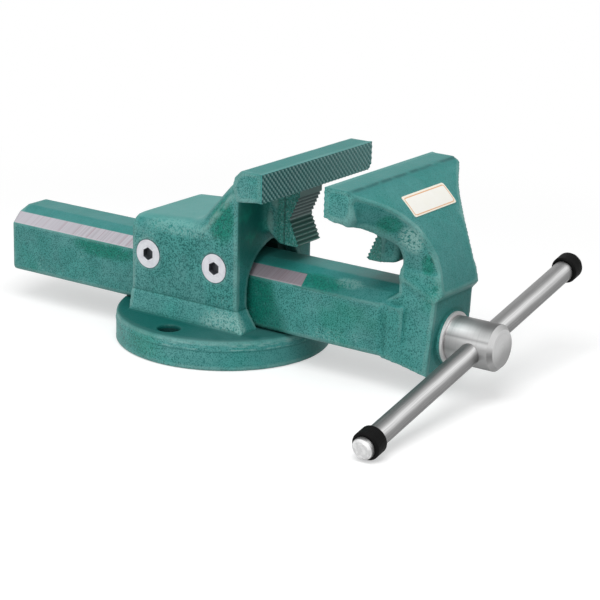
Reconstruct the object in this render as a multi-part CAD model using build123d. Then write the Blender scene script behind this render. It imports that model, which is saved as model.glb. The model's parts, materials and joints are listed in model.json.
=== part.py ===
"""Forged bench vise on a round bolt-down base, with a prismatic slide and pipe jaws.

Frame: origin at the centre of the base's underside, +X along the slide towards the
spindle head, +Y along the jaws, +Z up. All sizes are in millimetres.
"""
import os
from math import atan2, ceil, cos, degrees, hypot, radians, sin, sqrt, tan

from build123d import *

# ---------------------------------------------------------------- round base
base_radius = 69.8
base_thickness = 20.4
base_rim_fillet = 2.6
base_foot_chamfer = 1.2
base_bolt_spacing = 114.4       # between the two holding-down holes, across the slide
base_bolt_hole_radius = 7.0     # clearance for M12 bolts
base_bolt_hole_chamfer = 0.8

# ---------------------------------------------------------------- slide rail
rail_lift = 0.6                 # rail's underside over the base's top
rail_width = 48.4
rail_height = 43.0
rail_facet = 7.0                # 45 degree guide facets on both shoulders
rail_crown_width = 17.0         # flat on top of the rail
rail_crown_rise = 3.1           # from the facets up to that flat
rail_foot_round = 3.0
rail_tail = 276.3               # from the moving jaw's face back to the rail's end
rail_end_chamfer = 1.5
channel_width = 27.0            # slot under the rail, round the spindle
channel_front = 35.5            # from the moving jaw's face to the slot's end

# ---------------------------------------------------------------- jaws
jaw_width = 120.0
jaw_reach = 66.0                # from the rail's top to the jaws' top
jaw_face_height = 17.6
jaw_opening = 43.0              # between the tooth tips, as shown
jaw_corner_cut = 3.4            # lower far corner of the gripping faces, across
jaw_corner_drop = 4.4           # and up
tooth_height = 0.7
tooth_pitch = 2.63              # across the ridges
tooth_lean = 45.0               # degrees from upright

# ---------------------------------------------------------------- fixed body
fixed_face_x = 71.5             # tooth tips of the fixed jaw
body_rear = 44.2                # from the base's centre
body_front = 39.5
body_width = 80.8
body_rear_rise = 18.5           # top edge at the rear, over the rail's top
body_shoulder_radius = 11.0
body_rear_edge_radius = 2.5
neck_foot_back = 34.5           # where the top turns up into the neck, behind the body's front
neck_foot_rise = 3.3            # and over the rear edge
neck_foot_radius = 20.0
neck_shoulder_back = 41.5       # behind the fixed jaw's tooth tips
neck_shoulder_drop = 16.0       # under the jaw's top
neck_shoulder_radius = 16.0
neck_top_drop = 9.0
neck_overlap = 5.0              # how far the neck runs into the jaw
foot_height = 14.0              # flared skirt where the body meets the base
foot_side_flare = 3.0
foot_front_flare = 6.5
fixed_jaw_back_low = 19.4       # depths behind the fixed jaw's tooth tips
fixed_jaw_back_mid = 22.4
fixed_jaw_back_high = 21.0
fixed_jaw_back_top = 16.3
fixed_jaw_bevel_drop = 4.6      # heights of that profile's corners, under the top
fixed_jaw_mid_drop = 10.2
fixed_jaw_under_drop = 2.2      # underside falls towards the neck
tunnel_side_gap = 4.7           # beside the rail
tunnel_headroom = 9.0           # over the rail
tunnel_foot_gap = 1.2
tunnel_foot_rise = 15.0
land_width = 8.5                # strips that carry the rail
land_inset = 0.4
slide_clearance = 0.1

# ---------------------------------------------------------------- gibs and their screws
gib_length = 68.0
gib_centre_x = -4.45
gib_low_rise = 0.1              # over the facet's lower edge
gib_high_rise = 5.1             # over the facet's upper edge
gib_seat = 6.8                  # back of the gib, outside the rail's side
gib_edge = 2.0
gib_nose_gap = 0.24             # nose of the gib, outside the facet's upper edge
gib_end_gap = 0.3
gib_screw_spacing = 52.1
gib_screw_rise = 5.3            # over the facet's lower edge
gib_screw_radius = 5.0
gib_screw_head_radius = 9.2
gib_screw_reach = 5.0           # into the gib
gib_screw_tip_room = 1.0
gib_screw_tip_chamfer = 0.8
hex_across_flats = 7.0
hex_depth = 3.4
thread_play = 0.05

# ---------------------------------------------------------------- moving jaw
block_front_top = 55.7          # x places from the moving jaw's tooth tips
block_front_bottom = 52.6
block_heel = 20.0
block_knee = 32.2
block_nose_drop = 5.7           # under the rail's underside
block_heel_drop = 0.5
block_knee_drop = 1.5
block_shoulder_drop = 8.0       # under the rail's top
ledge_drop = 2.5
overhang = 59.9
overhang_rise = 2.0             # over the rail's top
front_arc_top = 16.5            # crease where the flat top turns into the sloping front
front_arc_mid = 42.0
front_arc_mid_drop = 22.0       # under the jaw's top
arm_draft = 3.2                 # how much narrower the block's half width gets upwards
arm_draft_end = 14.0            # over the rail's top
arm_waist_inset = 4.0           # narrowest half width of the arm, inside the rail's side
throat_back = 29.8              # inner upright of the arm
throat_arc_low_drop = 41.0      # the throat's curve, under the jaw's top
throat_arc_mid = 25.6
throat_arc_mid_drop = 28.5
throat_arc_top = 16.5
throat_arc_top_drop = 3.8       # under the gripping face
rail_joint = 5.0                # how far the rail runs into the block
moving_under_drop = 0.6
wing_foot = 19.4
wing_foot_drop = 2.2
wing_depth = 20.6
wing_chamfer = 3.5
wing_edge_radius = 3.0
groove_x = 21.5
groove_radius = 9.0
groove_depth = 0.8
fan_centre_x = 7.5              # the arm's cross-sections fan out round this line
fan_centre_drop = 48.0          # under the jaw's top
fan_reach = 75.0
fan_hub = 4.0
# each fan angle, degrees up from the level, with the arm's share of the way from waist to full width
fan_stations = ((-26.0, 0.045), (-8.0, 0.005), (4.0, 0.0), (14.0, 0.035), (26.0, 0.11), (38.0, 0.231),
                (50.0, 0.397), (58.0, 0.558), (66.0, 0.774), (74.0, 1.0), (100.0, 1.0))
label_width = 47.5
label_height = 14.8
label_thickness = 0.3
label_centre_y = 1.3
label_centre_drop = 13.7
label_corner_radius = 1.5

# ---------------------------------------------------------------- pipe jaws
pipe_jaw_width = 24.0
pipe_jaw_thickness = 10.4
pipe_vee_depth = 6.7
pipe_vee_half_height = 15.2
pipe_set_back_fixed = 6.0       # vee tips behind the fixed gripping face
pipe_set_back_moving = 0.5      # and behind the moving one
pipe_vee_drop_fixed = 21.4      # middle of the vee, under the gripping face
pipe_vee_drop_moving = 19.6
pipe_jaw_foot = 1.4             # below the lower tip
pipe_jaw_foot_bevel = 2.0
pipe_tooth_count = 6            # on each flank of the vee
pipe_tooth_height = 1.1
boss_extra_width = 2.6
boss_edge_radius = 3.5
boss_foot_radius = 6.0
boss_foot_edge = 1.0
boss_foot_run = 6.5             # level part of the fixed boss's lower end
boss_drop = 0.5                 # lower end under the pipe jaw's foot
fixed_boss_rise = 8.5           # where its underside meets the neck, above the lower end
moving_boss_depth = 23.7        # rear of the moving boss, from the tooth tips
moving_boss_rise = 2.0
moving_boss_lean = 1.5
pipe_jaw_top_gap = 0.2          # under the jaw above
pin_radius = 2.5
pin_length = 10.4
pin_in_jaw = 2.4
pin_offset = 8.0                # above and below the vee's centre

# ---------------------------------------------------------------- spindle
spindle_height = 34.9
thread_radius = 10.0            # Tr 20 x 4
spindle_tail = 264.0            # from the moving jaw's tooth tips to its rear end
spindle_tail_chamfer = 2.0
journal_radius = 10.6
collar_radius = 12.6
collar_length = 8.0
head_radius = 14.35
head_length = 31.7
head_chamfer = 2.8
head_neck_gap = 0.2
bar_hole_setback = 17.1         # T-bar's line, in front of the head's shoulder
seat_radius = 16.2              # machined seat on the block's front
seat_proud = 0.6                # of the block's front
seat_depth = 6.0
washer_radius = 16.4
washer_thickness = 1.6
bush_radius = 13.2
running_clearance = 0.06
spring_wire_radius = 1.1
spring_turns = 2.5
spring_spread = 1.25            # length of a coil over its wire's thickness
spring_bore_play = 0.3
spring_play = 0.15
spring_washer_thickness = 1.2
collar_pin_radius = 2.0
collar_pin_inset = 0.4

# ---------------------------------------------------------------- spindle nut
nut_length = 62.0
nut_centre_x = -2.0
nut_side_clearance = 0.75
nut_bolt_spacing = 40.0
nut_bolt_radius = 5.0
nut_bolt_head_radius = 8.0
nut_bolt_head_height = 9.0
nut_bolt_head_chamfer = 0.8
nut_bolt_tip_gap = 0.8          # under the spindle
nut_bolt_key = 8.0              # across the socket's flats
nut_bolt_key_depth = 5.0
nut_washer_radius = 9.2
nut_washer_thickness = 1.6
bolt_hole_play = 0.4
counterbore_play = 0.6
counterbore_cover = 0.6         # bolt head inside the base's underside

# ---------------------------------------------------------------- T-bar
bar_angle = 11.9               # degrees, near end down
bar_radius = 6.65
bar_near = 132.2                # from the spindle axis to each end
bar_far = 119.6
bar_end_chamfer = 1.6
bar_hole_play = 0.08
ring_radius = 8.7
ring_length = 10.5
ring_edge = 1.5
ring_set_in = 3.8               # bar's end past its ring
ring_groove = 1.0

# ---------------------------------------------------------------- worked out from the above
rail_bottom = base_thickness + rail_lift
rail_top = rail_bottom + rail_height
rail_half = rail_width / 2
crown_half = rail_crown_width / 2
facet_top = rail_top - rail_crown_rise
facet_low = facet_top - rail_facet
facet_inner = rail_half - rail_facet
jaw_top = rail_top + jaw_reach
jaw_half = jaw_width / 2
jaw_under = jaw_top - jaw_face_height
moving_face_x = fixed_face_x + jaw_opening
rail_rear_x = moving_face_x - rail_tail
channel_half = channel_width / 2
channel_end_x = moving_face_x + channel_front
seat_face_x = moving_face_x + block_front_top + seat_proud
head_start_x = seat_face_x + washer_thickness + head_neck_gap
head_end_x = head_start_x + head_length
bar_x = head_start_x + bar_hole_setback
body_half_width = body_width / 2
body_rear_height = rail_top + body_rear_rise
tunnel_half_width = rail_half + tunnel_side_gap
tunnel_foot_half_width = rail_half + tunnel_foot_gap
tunnel_top = rail_top + tunnel_headroom
tunnel_centre = tunnel_top - tunnel_half_width
gib_low = facet_low + gib_low_rise
gib_high = facet_top + gib_high_rise
gib_outer = rail_half + gib_seat
gib_screw_height = facet_low + gib_screw_rise
gib_screw_x = (gib_centre_x - gib_screw_spacing / 2, gib_centre_x + gib_screw_spacing / 2)
arm_half_high = rail_half - arm_draft
arm_waist = rail_half - arm_waist_inset
overhang_height = rail_top + overhang_rise
throat_top_height = jaw_under - throat_arc_top_drop
boss_half = (pipe_jaw_width + boss_extra_width) / 2
boss_fall = pipe_vee_half_height + pipe_jaw_foot + boss_drop
pipe_centre_fixed = jaw_under - pipe_vee_drop_fixed
pipe_centre_moving = jaw_under - pipe_vee_drop_moving
pipe_back_fixed = fixed_face_x - pipe_set_back_fixed - pipe_jaw_thickness
pipe_back_moving = moving_face_x + pipe_set_back_moving + pipe_jaw_thickness
pipe_top_fixed = jaw_under - fixed_jaw_under_drop - pipe_jaw_top_gap
under_slope = (throat_arc_top_drop - moving_under_drop) / (throat_arc_top - tooth_height)
pipe_top_moving = (jaw_under - moving_under_drop - pipe_jaw_top_gap
                   - under_slope * (pipe_set_back_moving + pipe_jaw_thickness - tooth_height))
hidden = 1.0                    # how far joined shapes run into each other


def outline(*corners):
    """Closed face through (u, v) or (u, v, radius) corners; a radius rounds its corner."""
    edges, start, last = [], None, None
    count = len(corners)
    for index, corner in enumerate(corners):
        here = Vector(corner[0], corner[1])
        radius = corner[2] if len(corner) > 2 else 0
        before = (Vector(*corners[index - 1][:2]) - here).normalized()
        after = (Vector(*corners[(index + 1) % count][:2]) - here).normalized()
        if radius:
            half_turn = radians(before.get_angle(after)) / 2
            run = radius / tan(half_turn)
            first, second = here + before * run, here + after * run
            middle = here + (before + after).normalized() * (radius / sin(half_turn) - radius)
        else:
            first = second = here
        if last is not None:
            edges.append(Line(last, first))
        if radius:
            edges.append(ThreePointArc(first, middle, second))
        start = first if start is None else start
        last = second
    edges.append(Line(last, start))
    return make_face(edges)


def across(face, half_width):
    """A side-view face, drawn in X and Z, pushed out both ways along Y."""
    return extrude(Plane.XZ * face, amount=half_width, both=True)


def along(face, start, end):
    """An end-view face, drawn in Y and Z, pushed from one X place to another."""
    return extrude(Plane.YZ.offset(start) * face, amount=end - start)


def block(low, high):
    """A box between two corners."""
    size = [b - a for a, b in zip(low, high)]
    return Pos(*low) * Box(*size, align=(Align.MIN, Align.MIN, Align.MIN))


def rod(radius, start, end, axis="X", at=(0, 0)):
    """A cylinder along a row axis; at gives its place in the other two axes, in XYZ order."""
    turned = {"X": Rot(0, 90, 0), "Y": Rot(-90, 0, 0), "Z": Rot(0, 0, 0)}[axis]
    place = {"X": (start, *at), "Y": (at[0], start, at[1]), "Z": (*at, start)}[axis]
    body = Cylinder(radius, end - start, align=(Align.CENTER, Align.CENTER, Align.MIN))
    return Pos(*place) * turned * body


def turned(profile, height):
    """A solid of revolution round the spindle's line, from (x, radius) points."""
    face = Plane.XZ * make_face(Polyline(*profile, close=True))
    return Pos(0, 0, height) * revolve(face, Axis.X)


def grip_teeth(face_x, facing):
    """Slanting ridges on a jaw's gripping face; facing is +1 towards +X, -1 towards -X."""
    lean = radians(tooth_lean)
    count = ceil((jaw_half * cos(lean) + jaw_face_height) / tooth_pitch)
    end = count * tooth_pitch
    points = [(-end, -hidden)]
    for index in range(-count, count):
        points += [(index * tooth_pitch, 0), ((index + 0.5) * tooth_pitch, tooth_height)]
    points += [(end, 0), (end, -hidden)]
    ridges = extrude(Plane.XY * make_face(Polyline(*points, close=True)),
                     amount=jaw_width * sin(lean) / 2 + jaw_face_height, both=True)
    placing = Plane(origin=(face_x - facing * tooth_height, 0, jaw_top - jaw_face_height / 2),
                    x_dir=(0, cos(lean), sin(lean)), z_dir=(0, facing * sin(lean), -facing * cos(lean)))
    trim = along(grip_outline(), face_x - 3 * hidden, face_x + 3 * hidden)
    return (placing * ridges) & trim


def grip_outline():
    """The gripping face: a rectangle with its lower far corner cut."""
    return outline((-jaw_half, jaw_top), (-jaw_half, jaw_under), (jaw_half - jaw_corner_cut, jaw_under),
                   (jaw_half, jaw_under + jaw_corner_drop), (jaw_half, jaw_top))


def lower_corner_cut(start, end):
    """Wedge that takes off a jaw's lower far corner."""
    inner = jaw_half - jaw_corner_cut
    low = jaw_under - 5 * hidden
    slope = jaw_corner_drop / jaw_corner_cut
    corner = outline((inner - 5 * hidden / slope, low), (jaw_half + 5 * hidden, low),
                     (jaw_half + 5 * hidden, jaw_under + jaw_corner_drop + 5 * hidden * slope))
    return along(corner, start, end)


# ------------------------------------------------------------------ fixed body
def body_shell():
    """Body block and neck, with rounded shoulders."""
    neck_end = fixed_face_x - fixed_jaw_back_low + neck_overlap
    neck_top = jaw_top - neck_top_drop
    low = base_thickness - hidden
    shape = across(outline((-body_rear, low), (-body_rear, body_rear_height),
                           (body_front - neck_foot_back, body_rear_height + neck_foot_rise, neck_foot_radius),
                           (fixed_face_x - neck_shoulder_back, jaw_top - neck_shoulder_drop,
                            neck_shoulder_radius),
                           (fixed_face_x - fixed_jaw_back_mid, neck_top), (neck_end, neck_top),
                           (neck_end, jaw_under), (body_front, jaw_under), (body_front, low)),
                   body_half_width)
    shoulders = [edge for edge in shape.edges()
                 if abs(abs(edge.center().Y) - body_half_width) < 1e-4
                 and edge.center().Z > body_rear_height and edge.center().X < body_front]
    shape = fillet(shoulders, body_shoulder_radius)
    plan = outline((-body_rear, -body_half_width, body_rear_edge_radius), (neck_end, -body_half_width),
                   (neck_end, body_half_width), (-body_rear, body_half_width, body_rear_edge_radius))
    return shape & extrude(Plane.XY * plan, amount=jaw_top)


def body_foot():
    """Flared skirt between the body and the base."""
    length = body_front + body_rear
    middle = (body_front - body_rear) / 2
    low = Plane.XY.offset(base_thickness - hidden) * Pos(middle + foot_front_flare / 2, 0) * \
        Rectangle(length + foot_front_flare, 2 * (body_half_width + foot_side_flare))
    high = Plane.XY.offset(base_thickness + foot_height) * Pos(middle, 0) * \
        Rectangle(length, 2 * body_half_width)
    return loft([low, high])


def fixed_jaw():
    """The jaw bar across the top of the neck."""
    root_x = fixed_face_x - tooth_height
    bar = across(outline((root_x, jaw_top), (fixed_face_x - fixed_jaw_back_top, jaw_top),
                         (fixed_face_x - fixed_jaw_back_high, jaw_top - fixed_jaw_bevel_drop),
                         (fixed_face_x - fixed_jaw_back_mid, jaw_top - fixed_jaw_mid_drop),
                         (fixed_face_x - fixed_jaw_back_low, jaw_under - fixed_jaw_under_drop),
                         (root_x, jaw_under)), jaw_half)
    bar -= lower_corner_cut(body_front, fixed_face_x + hidden)
    return bar + grip_teeth(fixed_face_x, 1)


def fixed_boss():
    """Bracket on the neck's front that backs the pipe jaw."""
    low = pipe_centre_fixed - boss_fall
    shape = across(outline((body_front - hidden, jaw_under + hidden), (pipe_back_fixed, jaw_under + hidden),
                           (pipe_back_fixed, low, boss_foot_edge),
                           (pipe_back_fixed - boss_foot_run, low, boss_foot_radius),
                           (body_front - hidden, low + fixed_boss_rise)), boss_half)
    uprights = [edge for edge in shape.edges().filter_by(Axis.Z) if edge.center().X > pipe_back_fixed - 1]
    return fillet(uprights, boss_edge_radius)


def tunnel():
    """Arched passage for the rail through the body."""
    floor = base_thickness
    foot = floor + tunnel_foot_rise
    edges = [Line((-tunnel_foot_half_width, floor), (-tunnel_half_width, foot)),
             Line((-tunnel_half_width, foot), (-tunnel_half_width, tunnel_centre)),
             ThreePointArc((-tunnel_half_width, tunnel_centre), (0, tunnel_top),
                           (tunnel_half_width, tunnel_centre)),
             Line((tunnel_half_width, tunnel_centre), (tunnel_half_width, foot)),
             Line((tunnel_half_width, foot), (tunnel_foot_half_width, floor)),
             Line((tunnel_foot_half_width, floor), (-tunnel_foot_half_width, floor))]
    return along(make_face(edges), -body_rear - 2 * hidden, body_front + 2 * foot_front_flare)


def carrying_lands():
    """Two strips under the rail's feet."""
    outer = tunnel_foot_half_width - land_inset
    top = rail_bottom - slide_clearance
    strip = block((-body_rear, outer - land_width, base_thickness - hidden), (body_front, outer, top))
    return strip + mirror(strip, Plane.XZ)


def gib_pocket(side):
    """Seat of one gib in the tunnel's wall; side is +1 or -1 along Y."""
    half = gib_length / 2 + gib_end_gap
    inner, outer = sorted((0, side * gib_outer))
    return block((gib_centre_x - half, inner, gib_low), (gib_centre_x + half, outer, gib_high))


def gib_screw_hole(x, side):
    """Clearance hole and countersink for one gib screw."""
    face = body_half_width
    shank = rod(gib_screw_radius + bolt_hole_play, gib_outer - hidden, face, "Y", (x, gib_screw_height))
    sink = gib_screw_head_radius - gib_screw_radius
    cone = Pos(x, face - sink, gib_screw_height) * Rot(-90, 0, 0) * Cone(
        gib_screw_radius, gib_screw_head_radius, sink, align=(Align.CENTER, Align.CENTER, Align.MIN))
    hole = shank + cone
    return hole if side > 0 else mirror(hole, Plane.XZ)


def nut_bolt_places():
    """X places of the two bolts that hold the spindle nut."""
    return (nut_centre_x - nut_bolt_spacing / 2, nut_centre_x + nut_bolt_spacing / 2)


def counterbore_depth():
    """Depth of the bolt-head recesses in the base's underside."""
    return counterbore_cover + nut_bolt_head_height + nut_washer_thickness


def fixed_body():
    base = Cylinder(base_radius, base_thickness, align=(Align.CENTER, Align.CENTER, Align.MIN))
    base = fillet(base.edges().group_by(Axis.Z)[-1], base_rim_fillet)
    base = chamfer(base.edges().group_by(Axis.Z)[0], base_foot_chamfer)
    shape = base + body_shell() + body_foot() + fixed_jaw() + fixed_boss() - tunnel()
    shape += carrying_lands()
    for side in (-1, 1):
        shape -= gib_pocket(side)
        for x in gib_screw_x:
            shape -= gib_screw_hole(x, side)
        y = side * base_bolt_spacing / 2
        shape -= rod(base_bolt_hole_radius, -hidden, base_thickness + hidden, "Z", (0, y))
        shape -= Pos(0, y, base_thickness - base_bolt_hole_chamfer) * Cone(
            base_bolt_hole_radius, base_bolt_hole_radius + 2 * base_bolt_hole_chamfer,
            2 * base_bolt_hole_chamfer, align=(Align.CENTER, Align.CENTER, Align.MIN))
    for x in nut_bolt_places():
        shape -= rod(nut_bolt_radius + bolt_hole_play, -hidden, base_thickness + hidden, "Z", (x, 0))
        shape -= rod(nut_washer_radius + counterbore_play, -hidden, counterbore_depth(), "Z", (x, 0))
    for z in pin_heights(pipe_centre_fixed):
        shape -= rod(pin_radius, pipe_back_fixed - (pin_length - pin_in_jaw), pipe_back_fixed + hidden,
                     "X", (0, z))
    return shape


# ------------------------------------------------------------------ pipe jaws and their pins
def pin_heights(centre):
    return centre - pin_offset, centre + pin_offset


def pipe_jaw(back_x, facing, centre, top):
    """Hardened vee insert; facing is +1 when its teeth look towards +X."""
    tip = pipe_jaw_thickness
    root = tip - pipe_vee_depth
    low = centre - pipe_vee_half_height
    points = [(0, low - pipe_jaw_foot), (tip - pipe_jaw_foot_bevel, low - pipe_jaw_foot), (tip, low)]
    slant = hypot(pipe_vee_depth, pipe_vee_half_height)
    normal = (pipe_vee_half_height / slant, pipe_vee_depth / slant)
    for flank in (-1, 1):
        for index in range(pipe_tooth_count):
            share = (index + 0.5) / pipe_tooth_count
            valley = 1 - share if flank < 0 else share
            end = 1 - (index + 1) / pipe_tooth_count if flank < 0 else (index + 1) / pipe_tooth_count
            points.append((root + pipe_vee_depth * valley - normal[0] * pipe_tooth_height,
                           centre + flank * (pipe_vee_half_height * valley + normal[1] * pipe_tooth_height)))
            points.append((root + pipe_vee_depth * end, centre + flank * pipe_vee_half_height * end))
    points += [(tip, top), (0, top)]
    placed = [(back_x + facing * u, v) for u, v in points]
    shape = across(make_face(Polyline(*placed, close=True)), pipe_jaw_width / 2)
    for z in pin_heights(centre):
        ends = sorted((back_x - facing * hidden, back_x + facing * pin_in_jaw))
        shape -= rod(pin_radius, *ends, "X", (0, z))
    return shape


def pipe_jaw_pins(back_x, facing, centre):
    """Two dowels from the boss into the pipe jaw."""
    ends = sorted((back_x - facing * (pin_length - pin_in_jaw), back_x + facing * pin_in_jaw))
    return [rod(pin_radius, *ends, "X", (0, z)) for z in pin_heights(centre)]


# ------------------------------------------------------------------ gibs
def gib(side):
    """Guide strip with a 45 degree bearing face on the rail's facet."""
    line = rail_half + facet_low + slide_clearance * sqrt(2)    # y + z along the bearing face
    inner = facet_inner + gib_nose_gap
    face = outline((line - gib_low, gib_low), (gib_outer, gib_low), (gib_outer, gib_high),
                   (inner + gib_edge, gib_high), (inner, gib_high - gib_edge), (inner, line - inner))
    strip = along(face, gib_centre_x - gib_length / 2, gib_centre_x + gib_length / 2)
    bottom = gib_outer - gib_screw_reach - gib_screw_tip_room
    for x in gib_screw_x:
        strip -= rod(gib_screw_radius + thread_play, bottom, gib_outer + hidden, "Y", (x, gib_screw_height))
    return strip if side > 0 else mirror(strip, Plane.XZ)


def gib_screw(x, side):
    """Countersunk screw with a hexagon socket."""
    face = body_half_width
    sink = gib_screw_head_radius - gib_screw_radius
    shank = rod(gib_screw_radius, gib_outer - gib_screw_reach, face - sink, "Y", (x, gib_screw_height))
    shank = chamfer(shank.edges().group_by(Axis.Y)[0], gib_screw_tip_chamfer)
    head = Pos(x, face - sink, gib_screw_height) * Rot(-90, 0, 0) * Cone(
        gib_screw_radius, gib_screw_head_radius, sink, align=(Align.CENTER, Align.CENTER, Align.MIN))
    socket = extrude(Plane(origin=(x, face - hex_depth, gib_screw_height), x_dir=(1, 0, 0), z_dir=(0, 1, 0))
                     * RegularPolygon(hex_across_flats / sqrt(3), 6, rotation=30), amount=hex_depth + hidden)
    screw = shank + head - socket
    return screw if side > 0 else mirror(screw, Plane.XZ)


# ------------------------------------------------------------------ moving jaw
def rail_bar():
    """The slide's bar with its guide facets."""
    face = outline((-rail_half, rail_bottom, rail_foot_round), (-rail_half, facet_low),
                   (-facet_inner, facet_top), (-crown_half, rail_top), (crown_half, rail_top),
                   (facet_inner, facet_top), (rail_half, facet_low),
                   (rail_half, rail_bottom, rail_foot_round))
    bar = along(face, rail_rear_x, moving_face_x + throat_back + rail_joint)
    return chamfer(bar.faces().sort_by(Axis.X)[0].edges(), rail_end_chamfer)


def front_arc():
    """Curve of the sloping front in X and Z, from the overhang up to the flat top."""
    x = moving_face_x
    return ThreePointArc((x + overhang, overhang_height), (x + front_arc_mid, jaw_top - front_arc_mid_drop),
                         (x + front_arc_top, jaw_top))


def front_profile():
    """Side view of the block, the arm and the jaw in one outline."""
    x = moving_face_x
    root_x = x + tooth_height
    throat_low = jaw_top - throat_arc_low_drop
    curves = [Polyline((x + throat_back, throat_low), (x + throat_back, rail_top - hidden),
                       (x + block_heel, rail_top - block_shoulder_drop),
                       (x + block_heel, rail_bottom - block_heel_drop),
                       (x + block_knee, rail_bottom - block_knee_drop),
                       (x + block_front_bottom, rail_bottom - block_nose_drop),
                       (x + block_front_top, rail_top - ledge_drop), (x + overhang, overhang_height)),
              front_arc(),
              Polyline((x + front_arc_top, jaw_top), (root_x, jaw_top), (root_x, jaw_under - moving_under_drop),
                       (x + throat_arc_top, throat_top_height)),
              ThreePointArc((x + throat_arc_top, throat_top_height),
                            (x + throat_arc_mid, jaw_top - throat_arc_mid_drop),
                            (x + throat_back, throat_low))]
    return make_face([edge for curve in curves for edge in curve.edges()])


def arm_flare():
    """Volume that gives the arm its width: narrow at the block, the jaw's full width at the top."""
    sections = []
    centre = Vector(moving_face_x + fan_centre_x, 0, jaw_top - fan_centre_drop)
    for angle, share in fan_stations:
        half = arm_waist + share * (jaw_half - arm_waist)
        way = Vector(cos(radians(angle)), 0, sin(radians(angle)))
        plane = Plane(origin=centre + way * ((fan_hub + fan_reach) / 2), x_dir=way,
                      z_dir=way.cross(Vector(0, 1, 0)))
        sections.append(plane * Rectangle(fan_reach - fan_hub, 2 * half))
    return loft(sections)


def block_draft():
    """Volume of the front block, slightly narrower at the top."""
    heel = rail_bottom - block_heel_drop
    top = rail_top + arm_draft_end
    return along(outline((-rail_half, 0), (rail_half, 0), (rail_half, heel), (arm_half_high, top),
                         (-arm_half_high, top), (-rail_half, heel)),
                 moving_face_x + block_heel - hidden, moving_face_x + overhang + hidden)


def jaw_wings():
    """Full-width bar behind the moving jaw's teeth."""
    x = moving_face_x
    shape = across(outline((x + tooth_height, jaw_top), (x + tooth_height, jaw_under - moving_under_drop),
                           (x + throat_arc_top, throat_top_height), (x + wing_foot, jaw_under - wing_foot_drop),
                           (x + wing_depth, jaw_under), (x + wing_depth, jaw_top - wing_chamfer),
                           (x + wing_depth - wing_chamfer, jaw_top)), jaw_half)
    uprights = [edge for edge in shape.edges().filter_by(Axis.Z) if edge.center().X > x + wing_foot]
    shape = fillet(uprights, wing_edge_radius)
    return shape - lower_corner_cut(x - hidden, x + wing_edge_radius)


def moving_boss():
    """Bracket under the moving jaw that backs its pipe jaw."""
    low = pipe_centre_moving - boss_fall
    back = moving_face_x + moving_boss_depth
    shape = across(outline((pipe_back_moving, jaw_under), (pipe_back_moving, low, boss_foot_edge),
                           (back, low + moving_boss_rise, boss_foot_radius),
                           (back + moving_boss_lean, jaw_under)), boss_half)
    uprights = [edge for edge in shape.edges().filter_by(Axis.Z) if edge.center().X < pipe_back_moving + 1e-3]
    return fillet(uprights, boss_edge_radius)


def spindle_channel():
    """Slot under the rail, round at the top, open below and to the rear."""
    edges = [Line((-channel_half, spindle_height), (-channel_half, 0)),
             Line((-channel_half, 0), (channel_half, 0)),
             Line((channel_half, 0), (channel_half, spindle_height)),
             ThreePointArc((channel_half, spindle_height), (0, spindle_height + channel_half),
                           (-channel_half, spindle_height))]
    return along(make_face(edges), rail_rear_x - hidden, channel_end_x)


def side_grooves():
    """Shallow upright hollows where the bar runs into the block."""
    x = moving_face_x + groove_x
    cut = Pos(x, rail_half + groove_radius - groove_depth, 0) * Cylinder(
        groove_radius, facet_low, align=(Align.CENTER, Align.CENTER, Align.MIN))
    return cut + mirror(cut, Plane.XZ)


def moving_jaw():
    front = across(front_profile(), jaw_half) & (arm_flare() + block_draft())
    seat = rod(seat_radius, seat_face_x - seat_depth, seat_face_x, "X", (0, spindle_height))
    shape = rail_bar() + front + jaw_wings() + moving_boss() + seat + grip_teeth(moving_face_x, -1)
    shape -= side_grooves()
    shape -= spindle_channel()
    shape -= rod(bush_radius, channel_end_x - hidden, seat_face_x + hidden, "X", (0, spindle_height))
    for z in pin_heights(pipe_centre_moving):
        shape -= rod(pin_radius, pipe_back_moving - hidden, pipe_back_moving + pin_length - pin_in_jaw,
                     "X", (0, z))
    return shape


def blank_label():
    """Plain plate on the sloping front, bent to its curve."""
    arc = front_arc()
    centre, radius = arc.arc_center, arc.radius
    height = jaw_top - label_centre_drop - centre.Y
    angle = degrees(atan2(height, sqrt(radius ** 2 - height ** 2)))
    ring = Plane.XZ * Pos(centre.X, centre.Y) * (Circle(radius + label_thickness) - Circle(radius))
    shell = extrude(ring, amount=jaw_half, both=True)
    plane = Plane(origin=(centre.X, label_centre_y, centre.Y), x_dir=(0, 1, 0),
                  z_dir=(cos(radians(angle)), 0, sin(radians(angle))))
    plate = extrude(plane * RectangleRounded(label_width, label_height, label_corner_radius), amount=2 * radius)
    return shell & plate


# ------------------------------------------------------------------ spindle group
def spindle():
    tail_x = moving_face_x - spindle_tail
    bush_rear_x = channel_end_x
    profile = [(tail_x, 0), (tail_x, thread_radius - spindle_tail_chamfer),
               (tail_x + spindle_tail_chamfer, thread_radius), (bush_rear_x, thread_radius),
               (bush_rear_x, journal_radius), (head_start_x, journal_radius), (head_start_x, head_radius),
               (head_end_x - head_chamfer, head_radius), (head_end_x, head_radius - head_chamfer),
               (head_end_x, 0)]
    shape = turned(profile, spindle_height)
    hole = Pos(bar_x, 0, spindle_height) * Rot(bar_angle, 0, 0) * rod(
        bar_radius + bar_hole_play, -2 * head_radius, 2 * head_radius, "Y")
    pin = rod(collar_pin_radius, -collar_radius, collar_radius, "Z", (collar_x(), 0))
    return shape - hole - Pos(0, 0, spindle_height) * pin


def collar_x():
    """Middle of the retaining collar, behind its spring."""
    return channel_end_x - spring_washer_thickness - spring_length() - collar_length / 2 - 2 * spring_play


def spring_length():
    return (spring_turns + 1) * 2 * spring_wire_radius * spring_spread


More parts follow.
